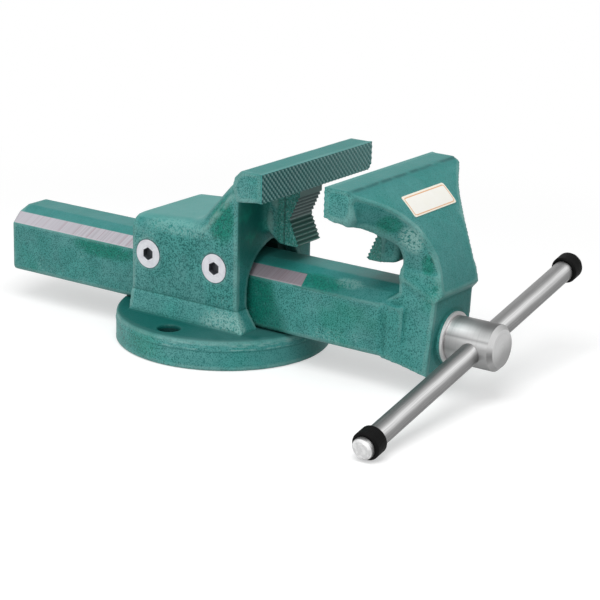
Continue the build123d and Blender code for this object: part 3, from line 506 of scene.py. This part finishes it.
def knurl_paint(name, face_x, facing):
    """Knurled faces' paint: painted shade in the grooves, worn grey on the crests, whole on the sides."""
    finish = Finish(name)
    root = (face_x - facing * TOOTH_HEIGHT) / MM
    crest = ((finish.x - root) * facing / (TOOTH_HEIGHT / MM)).rise(0.1, 0.95)
    worn = finish.noise(12.0, detail=3.0).rise(0.35, 0.65)
    grain = finish.noise(0.8)
    # Grooves darker at the near end and lighter towards the far end: painted shade and light.
    far = finish.y.rise(-45.0, 45.0)
    top = finish.mix(worn * 0.6, colour(120, 166, 163), colour(134, 160, 161))
    top = finish.over(top, grain.rise(0.55, 0.4) * 0.4, 90, 142, 138)
    tone = finish.mix(crest, finish.mix(far, colour(22, 88, 86), colour(72, 128, 125)), top)
    side = ((abs(finish.y) > JAW_WIDTH / 2 / MM - 0.05) + (finish.z > FACE_TOP / MM - 0.05)).clamped()
    tone = finish.mix(side, tone, finish.mix(grain.rise(0.4, 0.6) * 0.4, PAINT, PAINT_PALE))
    metal = crest * worn * 0.15 * (1.0 - side)
    return finish.surface(base_color=tone, roughness=0.5 - crest * 0.06, metallic=metal,
                          normal=finish.bump(grain, 0.05, 0.6), specular_ior_level=0.4)


def pipe_jaw_finish(name, node, facing):
    """Pipe jaw: unpainted dark teeth with painted shade and highlights, worn crests, paint on both sides."""
    finish = Finish(name)
    low, high = [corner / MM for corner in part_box(node)]
    tip = high.x if facing > 0 else low.x
    vee_depth, half_height, tooth, foot = 6.7, 15.2, 1.1, 1.4
    centre = low.z + foot + half_height
    depth = (tip - finish.x) * facing
    share = (abs(finish.z - centre) / half_height).at_most(1.0)
    below = (depth - (1.0 - share) * vee_depth) * (half_height / math.hypot(half_height, vee_depth))
    height = 1.0 - below / tooth
    # The lower flanks greener and the upper flanks greyer, by how they face: painted light and shade.
    lower = finish.z.rise(centre + 0.6, centre - 0.6)
    cloud = finish.noise(3.0, detail=3.0)
    # Dark grooves and lighter ridges: painted shade and highlight.
    groove = finish.mix(lower, colour(50, 76, 75), colour(24, 74, 66))
    ridge = finish.mix(lower, colour(98, 124, 120), colour(58, 114, 103))
    tone = finish.mix(height.rise(0.3, 1.0), groove, ridge)
    # Pale crest tops: wear and painted highlight.
    tone = finish.over(tone, height.rise(0.78, 0.98) * cloud.rise(0.25, 0.5) * 0.7, 156, 170, 170)
    upper_end = share.rise(0.93, 1.0) * finish.z.rise(centre, centre + 5.0)
    tone = finish.over(tone, upper_end, 82, 114, 110)
    coat, grain = thick_coat(finish, colour(16, 100, 91), colour(46, 138, 128))
    side = abs(finish.y) > high.y - 0.06
    tone = finish.mix(side, tone, coat)
    return finish.surface(base_color=tone, roughness=0.46 + cloud * 0.14, metallic=(1.0 - side) * 0.12,
                          normal=finish.bump(grain, 0.1, 0.7))


def turned_steel():
    """Turned steel with painted reflection bands that follow the way round, fine rings and a cut chamfer."""
    finish = Finish("turned_spindle_steel")
    height = finish.z - SPINDLE_HEIGHT / MM
    step = finish.joined((finish.y.length_with(height) + finish.x * 1.7) * MM, 0.0, 0.0)
    rings = finish.noise(0.22, detail=3.0, at=step, roughness=0.7)
    bands = finish.noise(2.6, at=step)
    turn = (-height).turn(-finish.y)
    by_block, by_end, chamfer = [finish.ramp(turn, greys) for greys in
                                 (HEAD_REFLECTION_BY_BLOCK, HEAD_REFLECTION_BY_END, CHAMFER_REFLECTION)]
    # Darker near the block, whose reflection the steel shows there: painted reflection.
    tone = finish.mix(finish.x.rise(178.0, 198.0), by_block, by_end)
    from_end = finish.x - HEAD_END_X / MM
    tone = finish.mix(from_end.rise(-2.9, -2.7), tone, chamfer)
    # The end face lighter to the top and the near side: painted light.
    lit = (height - finish.y * 0.35 + finish.noise(9.0) * 6.0 - 3.0).rise(-8.0, 6.0)
    tone = finish.mix(from_end.rise(-0.3, -0.1), tone, finish.mix(lit, grey(150), grey(202)))
    tone = finish.mix(rings.rise(0.35, 0.7) * 0.2, tone, grey(110))
    tone = finish.mix(bands.rise(0.45, 0.7) * 0.14, tone, grey(120))
    return finish.surface(base_color=tone, roughness=0.4 + rings * 0.12, metallic=0.9,
                          normal=finish.bump(rings, 0.012, 0.6))


def polished_steel():
    """Drawn round bar: painted reflections in bands round it, lengthwise marks and rough pale ends."""
    finish = Finish("polished_bar_steel")
    low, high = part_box("handle_bar")
    height = finish.z - SPINDLE_HEIGHT / MM
    along = finish.y * HANDLE_WAY.y + height * HANDLE_WAY.z
    out = finish.x - (low.x + high.x) / 2 / MM
    up = height * HANDLE_WAY.y - finish.y * HANDLE_WAY.z
    wander = finish.noise(45.0, at=finish.joined(along * MM, 0.0, 0.0)) - 0.5
    turn = (-up).turn(-out) + wander * 0.03
    draw = finish.noise(1.0, detail=3.0, at=finish.joined(turn * 90.0 * MM, along * 0.02 * MM, 0.0))
    fine = finish.noise(1.0, at=finish.joined(turn * 320.0 * MM, along * 0.05 * MM, 0.0))
    tone = finish.mix(draw.rise(0.4, 0.7) * 0.3, finish.ramp(turn, BAR_REFLECTION), grey(118))
    tone = finish.mix(fine.rise(0.5, 0.75) * 0.2, tone, grey(214))
    end = out.length_with(up).rise(6.45, 6.2)
    worn = finish.noise(3.2).rise(0.42, 0.62)
    tone = finish.mix(end * 0.95, tone, finish.mix(worn, grey(226), grey(248)))
    return finish.surface(base_color=tone, roughness=0.36 + draw * 0.08 + end * 0.15,
                          metallic=0.9 - end * 0.7, normal=finish.bump(draw, 0.01, 0.4))


def screw_zinc():
    """Bright zinc on the countersunk screws, with painted shade down the hexagon socket."""
    finish = Finish("bright_zinc_screw")
    middle = (screws_low.x + screws_high.x) / 2 / MM
    spread = (screws_high.x - screws_low.x) / 2 / MM - SCREW_RADIUS / MM
    out = abs(finish.x - middle) - spread
    height = finish.z - SCREW_HEIGHT / MM
    radius = out.length_with(height)
    hexagon = abs(out).at_least(abs(out) * 0.5 + abs(height) * 0.866)
    # Painted shade on the socket's hexagon lead-in and deeper down the socket.
    lead_in = hexagon.rise(3.85, 3.65)
    sunk = abs(finish.y) + screws_low.y / MM
    socket = radius.rise(5.2, 4.9) * sunk.rise(-0.02, -0.3)
    turned = finish.noise(0.5, detail=3.0, at=finish.joined(radius * MM, 0.0, 0.0))
    cloud = finish.noise(5.0)
    tone = finish.mix(turned.rise(0.3, 0.7), colour(208, 210, 216), colour(230, 231, 235))
    tone = finish.over(tone, cloud.rise(0.4, 0.7) * 0.4, 186, 184, 194)
    tone = finish.over(tone, lead_in, 84, 88, 94)
    tone = finish.over(tone, socket, 66, 70, 76)
    return finish.surface(base_color=tone, roughness=0.34 + cloud * 0.1, metallic=0.6 - lead_in * 0.4,
                          normal=finish.bump(turned, 0.015, 0.5))


def plain_steel(name, dark, light, rough, metal=0.85):
    """Steel with a fine uniform grain between two colours, for screws, washers and hidden fittings."""
    finish = Finish(name)
    speck = finish.noise(0.5, detail=3.0)
    cloud = finish.noise(7.0)
    share = speck.rise(0.3, 0.7) * 0.5 + cloud.rise(0.3, 0.7) * 0.5
    tone = finish.mix(share, colour(*dark), colour(*light))
    return finish.surface(base_color=tone, roughness=rough + cloud * 0.12, metallic=metal,
                          normal=finish.bump(speck, 0.012, 0.5))


def ring_rubber():
    """Black rubber with fine ribs round it and a little dust."""
    finish = Finish("black_ring_rubber")
    along = finish.y * HANDLE_WAY.y + (finish.z - SPINDLE_HEIGHT / MM) * HANDLE_WAY.z
    rib = (along / 1.15).zigzag()
    grain = finish.noise(0.6, detail=3.0)
    dust = finish.noise(3.0, detail=3.0).rise(0.56, 0.8)
    tone = finish.mix(dust * 0.35 * rib, grey(2), grey(30))
    return finish.surface(base_color=tone, roughness=0.6 + grain * 0.15, specular_ior_level=0.12,
                          normal=finish.bump(rib + grain * 0.3, 0.1, 0.8))


def label_foil():
    """Plain cream foil with a thin orange line inside its border."""
    finish = Finish("plain_label_foil")
    middle, half = (label_low + label_high) / 2 / MM, (label_high - label_low) / 2 / MM
    slope = half.z / math.hypot(half.z, half.x)
    inset, corner = 1.35, 1.6
    over_y = (abs(finish.y - middle.y) - (half.y - inset - corner)).at_least(0.0)
    up = abs((finish.z - middle.z) / slope)
    over_z = (up - (LABEL_HALF_HEIGHT - inset - corner)).at_least(0.0)
    distance = over_y.length_with(over_z) - corner
    line = abs(distance).rise(0.42, 0.26)
    tint = finish.noise(6.0)
    tone = finish.mix(tint, colour(253, 252, 246), colour(247, 245, 235))
    tone = finish.over(tone, distance.rise(-0.1, 0.1), 248, 241, 226)
    tone = finish.over(tone, line * 0.85, 224, 158, 92)
    return finish.surface(base_color=tone, roughness=0.34 + tint * 0.08, normal=finish.bump(tint, 0.02, 0.4))


# ---------- meshes
def shown(mesh, name, body, slot, *nodes):
    """Puts a mesh on a body under a name; it stands for the given CAD nodes."""
    made = bpy.data.objects.new(name, mesh)
    bpy.context.scene.collection.objects.link(made)
    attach(made, body)
    if nodes:
        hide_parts(*nodes)


def evaluated(made):
    """The plain mesh that an object's modifiers give."""
    depsgraph = bpy.context.evaluated_depsgraph_get()
    mesh = bpy.data.meshes.new_from_object(made.evaluated_get(depsgraph))
    bpy.data.objects.remove(made)
    return mesh


def merged_copy(node):
    """A node's mesh with its loose triangles joined."""
    shape = bmesh.new()
    shape.from_mesh(frame["nodes"][node].data)
    bmesh.ops.remove_doubles(shape, verts=shape.verts, dist=0.002 * MM)
    return shape


def to_mesh(shape, name):
    """Smooth-shaded mesh with its edges sharp past an angle."""
    limit = math.radians(35)
    for face in shape.faces:
        face.smooth = True
    for edge in shape.edges:
        edge.smooth = len(edge.link_faces) == 2 and edge.calc_face_angle(0.0) < limit
    mesh = bpy.data.meshes.new(name)
    shape.to_mesh(mesh)
    shape.free()
    return mesh


def corners(mesh, kind):
    """The places of a mesh's corners, or their normals."""
    values = np.empty(len(mesh.vertices) * 3)
    mesh.vertices.foreach_get(kind, values)
    return values.reshape(-1, 3)


def neighbour_mean(places, pairs, count):
    """Mean of every corner's neighbours."""
    total = np.empty_like(places)
    for axis in range(places.shape[1]):
        total[:, axis] = (np.bincount(pairs[:, 0], places[pairs[:, 1], axis], len(places))
                          + np.bincount(pairs[:, 1], places[pairs[:, 0], axis], len(places)))
    return total / count[:, None]


def smoothed(places, pairs, count, times):
    """Every corner's value blurred over its neighbours."""
    for _ in range(times):
        places = neighbour_mean(places, pairs, count)
    return places


def corner_pairs(mesh):
    """The two corners of every edge, and how many edges meet in each corner."""
    pairs = np.empty(len(mesh.edges) * 2, dtype=np.int64)
    mesh.edges.foreach_get("vertices", pairs)
    count = np.bincount(pairs, minlength=len(mesh.vertices)).astype(float)
    return pairs.reshape(-1, 2), count


def place_corners(mesh, places):
    mesh.vertices.foreach_set("co", places.ravel())
    mesh.update()


def note(mesh, name, values):
    mesh.attributes.new(name, "FLOAT", "POINT").data.foreach_set("value", values.astype(np.float32))


def remeshed(mesh, cell):
    """Even mesh of small squares over a closed shape, with its edges kept."""
    carrier = bpy.data.objects.new("carrier", mesh)
    bpy.context.scene.collection.objects.link(carrier)
    longest = max(carrier.dimensions)
    modifier = carrier.modifiers.new("even", "REMESH")
    modifier.mode = "SHARP"
    modifier.octree_depth = math.ceil(math.log2(longest / (0.9 * cell)))
    modifier.scale = longest / (cell * 2 ** modifier.octree_depth)
    modifier.use_remove_disconnected = False
    modifier.use_smooth_shade = True
    return evaluated(carrier)


def soft_step(values, start, end):
    """0 before start, 1 after end and a soft slope between."""
    share = np.clip((values - start) / (end - start), 0, 1)
    return share * share * (3 - 2 * share)


def hump(values, low, high, soft):
    """1 between low and high, with soft borders."""
    return soft_step(values, low - soft, low + soft) * soft_step(values, high + soft, high - soft)


def bell(values, middle, width):
    return np.exp(-((values - middle) / width) ** 2)


def waves(places, length, seed):
    """Smooth irregular field between -1 and 1 with features about length across."""
    chance = np.random.default_rng(seed)
    total = np.zeros(len(places))
    for _ in range(7):
        way = chance.normal(size=3)
        way *= 2 * math.pi / (length * chance.uniform(0.7, 1.6) * np.linalg.norm(way))
        total += np.sin(places @ way + chance.uniform(0, 2 * math.pi))
    return total / 7


def closed_in(mesh, places, normals, reach):
    """Share of the outlook from every corner that the same piece closes within reach."""
    tree = BVHTree.FromPolygons(places.tolist(), [face.vertices[:] for face in mesh.polygons])
    facing = np.argmax(np.abs(normals), axis=1) * 2 + (normals.sum(1) > 0)
    cells = np.column_stack((np.floor(places / (2.5 * MM)).astype(int), facing))
    _, first, cell_of = np.unique(cells, axis=0, return_index=True, return_inverse=True)
    ways = [Vector((x, y, z)).normalized() for x in (-1, 0, 1) for y in (-1, 0, 1) for z in (-1, 0, 1)
            if (x, y, z) != (0, 0, 0)]
    closed = np.zeros(len(first))
    for place, corner in enumerate(first):
        normal = Vector(normals[corner])
        start = Vector(places[corner]) + normal * 0.4 * MM
        met = total = 0.0
        for way in ways:
            share = way.dot(normal)
            if share > 0.15:
                distance = tree.ray_cast(start, way, reach)[3]
                total += share
                met += share * (1 - distance / reach) if distance is not None else 0.0
        closed[place] = met / total
    return closed[cell_of.ravel()]


def forging(node, face_x, facing, seat_x, round_more, sculpt, seed):
    """Forged piece: its knurl cut off flat, its edges rounded and its skin slightly uneven."""
    shape = merged_copy(node)
    root = face_x - facing * TOOTH_HEIGHT
    under = FACE_TOP - FACE_HEIGHT - 0.8 * MM
    for corner in shape.verts:
        if facing * (corner.co.x - root) > -0.05 * MM and corner.co.z > under:
            corner.co.x = root - facing * 0.1 * MM
    mesh = remeshed(to_mesh(shape, node + "_plain"), FORGING_CELL)
    places = corners(mesh, "co")
    pairs, count = corner_pairs(mesh)
    crisp = soft_step(facing * (root - places[:, 0]), 3.0 * MM, 1.0 * MM) * (places[:, 2] > under)
    seat = soft_step(np.abs(places[:, 0] - seat_x), 2.6 * MM, 1.2 * MM) * (places[:, 2] < under) * 0.8
    crisp = np.maximum(crisp, seat * (np.abs(places[:, 1]) < 15 * MM) * (places[:, 2] > 72 * MM))
    more = round_more(places)
    for step in range(ROUNDING_STEPS):
        share = 0.5 * (1 - crisp) * (1.0 if step < 2 else more)
        places += (neighbour_mean(places, pairs, count) - places) * np.reshape(share, (-1, 1))
    for share in (0.5, -0.52) * 4:
        places += (neighbour_mean(places, pairs, count) - places) * np.reshape(share * (1 - crisp), (-1, 1))
    bracket = (np.abs(places[:, 1]) < BRACKET_SIDE * MM) & (places[:, 2] > BRACKET_FOOT * MM)
    on_seat = bracket & (places[:, 2] < under) & (np.abs(places[:, 0] - seat_x) < 1.0 * MM)
    places[on_seat, 0] = seat_x + facing * 0.1 * MM
    place_corners(mesh, places)
    normals = corners(mesh, "normal")
    blurred = smoothed(places, pairs, count, 6)
    raised = ((places - blurred) * normals).sum(1) / (0.4 * MM)
    raised = smoothed(raised[:, None], pairs, count, 2).ravel()
    # How closed in each place is, for the paint's painted shade in recesses.
    recess = closed_in(mesh, places, normals, 60 * MM)
    recess = smoothed(recess[:, None], pairs, count, 6).ravel()
    uneven = waves(places, 26 * MM, seed) * 0.5 + waves(places, 11 * MM, seed + 1) * 0.5
    depth = (0.08 * MM * (uneven - 1.0) + sculpt(places, normals)) * (1 - crisp * 0.6)
    place_corners(mesh, places + normals * depth[:, None])
    note(mesh, "edge", raised * 1.3)
    note(mesh, "recess", recess)
    # How far each place faces up or forward; the paint's painted shade on tops follows it.
    note(mesh, "even", np.clip(np.maximum(normals[:, 2], normals[:, 0] * 0.75), 0, 1))
    mesh.set_sharp_from_angle(angle=math.radians(50))
    return mesh


def fixed_rounding(places):
    """The pipe jaw's bracket grows out of the neck in a wide curve."""
    x, y, z = places.T
    return (hump(x, 37 * MM, 50 * MM, 1.5 * MM) * soft_step(np.abs(y), 30 * MM, 22 * MM)
            * hump(z, 74 * MM, 114 * MM, 3 * MM))


def from_throat(x, z):
    """Distance outside the throat's curve."""
    return np.hypot(x - THROAT_CENTRE[0], z - THROAT_CENTRE[1]) - THROAT_RADIUS


def slide_rounding(places):
    """The throat's edges and the root of its bracket are softly rounded."""
    x, y, z = places.T
    near = soft_step(from_throat(x, z), 6 * MM, 3.5 * MM) * soft_step(from_throat(x, z), -4 * MM, -2 * MM)
    return near * (x > THROAT_CENTRE[0]) * (z > 78 * MM) * soft_step(np.abs(y), 6 * MM, 12 * MM) * 0.8


def body_marks(places, normals):
    """The rim leans back over the forging's flash line, and a crease runs over the flared foot."""
    x, y, z = places.T
    on_rim = soft_step(np.hypot(x, y), RIM_START, RIM_FULL) * (z < RIM_LIMIT * MM)
    upper = np.clip((z - (FLASH_LINE + 0.2) * MM) / (6 * MM), 0, 1)
    flash = bell(z, FLASH_LINE * MM, 0.7 * MM)
    rim = on_rim * (-0.25 * MM * (z > 1.5 * MM) - 0.35 * MM * upper + 0.3 * MM * flash)
    over_fold = z - FOLD_Z * MM - FOLD_SLOPE * (x - FOLD_X * MM)
    fold = 0.5 * MM * bell(over_fold, -2.6 * MM, 2.4 * MM) - 0.6 * MM * bell(over_fold, 1.6 * MM, 2.2 * MM)
    fold = fold * (np.abs(y) > 35 * MM) * hump(z, 84 * MM, 108 * MM, 3 * MM)
    outside = (np.abs(normals[:, 1]) > 0.6) * (np.abs(y) > 36 * MM) * (x > -45 * MM)
    return rim + fold - outside * 0.35 * MM * bell(z, FOOT_CREASE * MM, 0.9 * MM)


def slide_marks(places, normals):
    """A crease behind the jaw's flat top, and a fuller curve in the throat."""
    x, y, z = places.T
    crease = 0.35 * MM * bell(x, JAW_CREASE * MM, 1.1 * MM) * (z > 127 * MM)
    inside = np.clip(-normals[:, 0] - normals[:, 2], 0, 1)
    inside = inside * soft_step(np.abs(from_throat(x, z)), 4 * MM, 2 * MM)
    turn = np.degrees(np.arctan2(z - THROAT_CENTRE[1], x - THROAT_CENTRE[0]))
    fuller = MM * inside * (hump(turn, -10, 100, 12) + 3.6 * hump(turn, 22, 58, 22))
    beside = hump(np.abs(y), 12 * MM, 14 * MM, 0.5 * MM) * hump(z, 74 * MM, 112 * MM, 1 * MM)
    flush = 0.8 * MM * hump(x, MOVING_SEAT_X - 1 * MM, MOVING_SEAT_X + 2.5 * MM, 1.5 * MM) * beside
    return fuller - flush * np.abs(normals[:, 1]) - crease


# ---------- repeated shapes
class Shape(Tree):
    """Geometry Nodes tree with named inputs for its sizes."""

    def __init__(self, name, sizes):
        super().__init__(bpy.data.node_groups.new(name, "GeometryNodeTree"))
        self.node_tree.interface.new_socket("Geometry", in_out="OUTPUT", socket_type="NodeSocketGeometry")
        self.sizes = sizes
        for size in sizes:
            kind = "NodeSocketMaterial" if size == "Material" else "NodeSocketFloat"
            self.node_tree.interface.new_socket(size, in_out="INPUT", socket_type=kind)
        self.inputs = self.outputs(self.node("NodeGroupInput"))

    def mesh(self):
        """Plain mesh of the finished tree."""
        name = self.node_tree.name
        carrier = bpy.data.objects.new(name, bpy.data.meshes.new(name))
        modifier = carrier.modifiers.new("shape", "NODES")
        modifier.node_group = self.node_tree
        for socket in self.node_tree.interface.items_tree:
            if socket.in_out == "INPUT":
                modifier[socket.identifier] = self.sizes[socket.name]
        bpy.context.scene.collection.objects.link(carrier)
        return evaluated(carrier)

    def finish(self, geometry, place):
        """Moves the corners to their places and ends the tree with real geometry in its material."""
        moved = self.node("GeometryNodeSetPosition", sockets={"Geometry": geometry, "Position": place})
        real = self.node("GeometryNodeRealizeInstances", sockets={0: moved})
        coated = self.node("GeometryNodeSetMaterial", sockets={0: real, "Material": self.inputs["Material"]})
        self.node("NodeGroupOutput", sockets={0: coated})
        return self.mesh()


def knurl(name, face_x, facing, material):
    """Slab with crossed slanting grooves on the side that grips."""
    shape = Shape(name, {"Width": JAW_WIDTH, "Height": FACE_HEIGHT, "Pitch": KNURL_PITCH,
                         "Depth": TOOTH_HEIGHT, "Cross Share": 0.46, "Corner Cut": CORNER_CUT,
                         "Corner Drop": CORNER_DROP, "Material": material})
    sizes = shape.inputs
    slab = shape.node("GeometryNodeMeshCube", sockets={
        "Size": shape.joined(KNURL_SLAB, sizes["Width"], sizes["Height"]),
        "Vertices X": 2, "Vertices Y": KNURL_COLUMNS, "Vertices Z": KNURL_ROWS})
    x, y, z = shape.split(shape.node("GeometryNodeInputPosition"))
    outside = (y - (sizes["Width"] / 2.0 - sizes["Corner Cut"])).at_least(0.0) / sizes["Corner Cut"]
    fall = (sizes["Height"] / 2.0 - z) * (1.0 - outside * sizes["Corner Drop"] / sizes["Height"])
    level = sizes["Height"] / 2.0 - fall
    diagonal = sizes["Pitch"] * math.sqrt(2)
    ridge = ((y + level) / diagonal).zigzag()
    cross = ((y - level) / diagonal).zigzag()
    height = (ridge * 1.08).at_most(1.0) - (1.0 - (cross * 1.3).at_most(1.0)) * sizes["Cross Share"]
    edge = (sizes["Height"] / 2.0 - level).at_most(sizes["Width"] / 2.0 - abs(y)) / KNURL_CHAMFER
    height = height.at_most(edge + 0.1)
    drop = (1.0 - height.at_least(0.0)) * sizes["Depth"] * (x * facing > 0.0)
    place = shape.joined(x - drop * facing + (face_x - facing * KNURL_SLAB / 2), y,
                         level + (FACE_TOP - FACE_HEIGHT / 2))
    return shape.finish(slab, place)


def spindle_thread(material):
    """Trapezoidal thread on the spindle from its tail to the journal."""
    length = JOURNAL_X - SPINDLE_TAIL_X
    shape = Shape("spindle_thread", {"Length": length, "Pitch": THREAD_PITCH, "Radius": THREAD_RADIUS,
                                     "Depth": THREAD_DEPTH, "Tail Chamfer": 2.0 * MM, "Material": material})
    sizes = shape.inputs
    blank = shape.node("GeometryNodeMeshCylinder", {"fill_type": "NGON"}, {
        "Vertices": THREAD_SIDES, "Side Segments": THREAD_STEPS, "Radius": 1.0, "Depth": sizes["Length"]})
    x, y, z = shape.split(shape.node("GeometryNodeInputPosition"))
    along = z + sizes["Length"] / 2.0
    turn = y.math("ARCTAN2", x) / (2 * math.pi)
    wave = (along / sizes["Pitch"] - turn).zigzag()
    tooth = ((wave - 0.34) / 0.3).clamped()
    plain = (along / sizes["Length"]).rise(0.985, 0.99)
    radius = sizes["Radius"] - sizes["Depth"] * (1.0 - tooth) * (1.0 - plain)
    radius = radius.at_most(sizes["Radius"] - sizes["Tail Chamfer"] + along)
    place = shape.joined(along + SPINDLE_TAIL_X, x * radius, y * radius + SPINDLE_HEIGHT)
    smooth = shape.node("GeometryNodeSetShadeSmooth", sockets={0: blank, "Shade Smooth": True})
    return shape.finish(smooth, place)


def spindle_head():
    """Journal and head of the spindle, without its threaded length."""
    shape = merged_copy("spindle")
    everything = list(shape.verts) + list(shape.edges) + list(shape.faces)
    cut = bmesh.ops.bisect_plane(shape, geom=everything, plane_co=(JOURNAL_X - 0.05 * MM, 0, 0),
                                 plane_no=(1, 0, 0), clear_inner=True)
    rim = [part for part in cut["geom_cut"] if isinstance(part, bmesh.types.BMEdge)]
    bmesh.ops.edgeloop_fill(shape, edges=rim)
    return to_mesh(shape, "spindle_head")


# ---------- pieces
def coated(mesh, material):
    mesh.materials.clear()
    mesh.materials.append(material)
    return mesh


turned = turned_steel()
washer = plain_steel("bright_washer_steel", (224, 221, 221), (240, 237, 237), 0.36, metal=0.3)
oiled = plain_steel("oiled_thread_steel", (92, 90, 86), (132, 130, 124), 0.32)
bright = plain_steel("bright_steel", (196, 192, 190), (222, 219, 217), 0.3)
zinc = plain_steel("zinc_plate", (206, 207, 216), (230, 230, 237), 0.34, metal=0.7)
black = plain_steel("blackened_bolt_steel", (34, 34, 36), (52, 52, 55), 0.4)
iron = plain_steel("green_primed_iron", (22, 66, 62), (34, 88, 82), 0.5, metal=0.1)
bronze = plain_steel("bush_bronze", (168, 130, 78), (196, 156, 98), 0.34)
screw = screw_zinc()
rubber = ring_rubber()

body_mesh = forging("fixed_body", FIXED_FACE_X, 1, FIXED_SEAT_X, fixed_rounding, body_marks, seed=11)
shown(coated(body_mesh, body_paint()), "body_forging", "root", "forging_paint", "fixed_body")
slide_mesh = forging("moving_jaw", MOVING_FACE_X, -1, MOVING_SEAT_X, slide_rounding, slide_marks, seed=23)
shown(coated(slide_mesh, slide_paint()), "slide_forging", "slide", "forging_paint", "moving_jaw")
for name, body, face_x, facing in (("fixed_knurl", "root", FIXED_FACE_X, 1),
                                   ("moving_knurl", "slide", MOVING_FACE_X, -1)):
    paint = knurl_paint(name + "_paint", face_x, facing)
    shown(knurl(name, face_x, facing, paint), name, body, "forging_paint")
shown(coated(spindle_head(), turned), "spindle_head", "spindle", "turned_steel", "spindle")
shown(spindle_thread(oiled), "spindle_thread", "spindle", "turned_steel")

finishes = {
    "pipe_jaw_fixed": pipe_jaw_finish("fixed_pipe_jaw_steel", "pipe_jaw_fixed", 1),
    "pipe_jaw_moving": pipe_jaw_finish("moving_pipe_jaw_steel", "pipe_jaw_moving", -1),
    "pipe_jaw_pins_fixed": bright, "pipe_jaw_pins_moving": bright,
    "guide_gib_left": iron, "guide_gib_right": iron, "spindle_nut": iron,
    "gib_screws_left": screw, "gib_screws_right": screw, "nut_bolt_washers": zinc,
    "nut_bolts": black, "spindle_bush": bronze, "thrust_washer": washer,
    "spring_washer": bright, "take_up_spring": bright, "retaining_collar": bright, "collar_pin": bright,
    "handle_bar": polished_steel(), "buffer_ring_near": rubber, "buffer_ring_far": rubber,
    "blank_label": label_foil(),
}
for node, material in finishes.items():
    coated(frame["nodes"][node].data, material)


# ---------- floor, light and camera
def light_card(name, place, target, width, height, power):
    lamp = bpy.data.lights.new(name, "AREA")
    lamp.shape = "RECTANGLE"
    lamp.size, lamp.size_y = width, height
    lamp.energy = power
    made = bpy.data.objects.new(name, lamp)
    way = Vector(target) - Vector(place)
    made.matrix_world = Matrix.Translation(place) @ way.to_track_quat("-Z", "Y").to_matrix().to_4x4()
    bpy.context.scene.collection.objects.link(made)


def seen_directly(tree):
    """1 where the camera, a mirror or a glass looks at the surface, and 0 for its light."""
    rays = tree.outputs(tree.node("ShaderNodeLightPath"))
    return (rays["Is Camera Ray"] + rays["Is Glossy Ray"] + rays["Is Transmission Ray"]).clamped()


def studio():
    scene = bpy.context.scene
    world = bpy.data.worlds.new("studio")
    world.use_nodes = True
    tree = Tree(world.node_tree)
    world.node_tree.nodes.clear()
    soft, plain = [tree.node("ShaderNodeBackground", sockets={"Color": (1, 1, 1, 1), "Strength": strength})
                   for strength in (0.4, 1.0)]
    lit = tree.node("ShaderNodeMixShader", sockets={0: seen_directly(tree), 1: soft, 2: plain})
    tree.node("ShaderNodeOutputWorld", sockets={0: lit})
    scene.world = world

    floor_mesh = bpy.data.meshes.new("floor")
    reach = 6.0
    floor_mesh.from_pydata([(-reach, -reach, 0), (reach, -reach, 0), (reach, reach, 0), (-reach, reach, 0)],
                           [], [(0, 1, 2, 3)])
    floor = bpy.data.objects.new("floor", floor_mesh)
    scene.collection.objects.link(floor)
    finish = Finish("white_floor")
    matt = finish.node("ShaderNodeBsdfDiffuse", sockets={"Color": (0.62, 0.62, 0.62, 1)})
    glow, white = [finish.node("ShaderNodeEmission", sockets={"Color": (1, 1, 1, 1), "Strength": strength})
                   for strength in (0.5, 1.0)]
    both = finish.node("ShaderNodeAddShader", sockets={0: matt, 1: glow})
    away = finish.x.length_with(finish.y).rise(220.0, 560.0)
    near_or_far = finish.node("ShaderNodeMixShader", sockets={0: away, 1: both, 2: white})
    seen = finish.node("ShaderNodeMixShader", sockets={0: seen_directly(finish), 1: matt, 2: near_or_far})
    finish.node("ShaderNodeOutputMaterial", sockets={0: seen})
    floor_mesh.materials.append(finish.material)

    middle = (0.03, 0.0, 0.06)
    light_card("key", (0.3, -0.95, 0.95), middle, 0.8, 0.8, 5.4)
    light_card("top", (0.3, -0.5, 1.4), middle, 1.0, 0.8, 10.2)
    scene.view_settings.view_transform = "Standard"


def camera():
    """Long lens from the T-bar's side, slightly above."""
    right = (0.822900, 0.567602, 0.025779)
    up = (-0.188896, 0.230504, 0.954561)
    back = (0.535868, -0.790377, 0.296899)
    place = (0.710838, -0.960779, 0.397450)
    made = bpy.data.objects.new("camera", bpy.data.cameras.new("camera"))
    made.data.sensor_width = 36.0
    made.data.lens = 115.995
    made.data.clip_start, made.data.clip_end = 0.05, 30.0
    turn = Matrix((right, up, back)).transposed().to_4x4()
    made.matrix_world = Matrix.Translation(place) @ turn
    bpy.context.scene.collection.objects.link(made)
    bpy.context.scene.camera = made


studio()
camera()
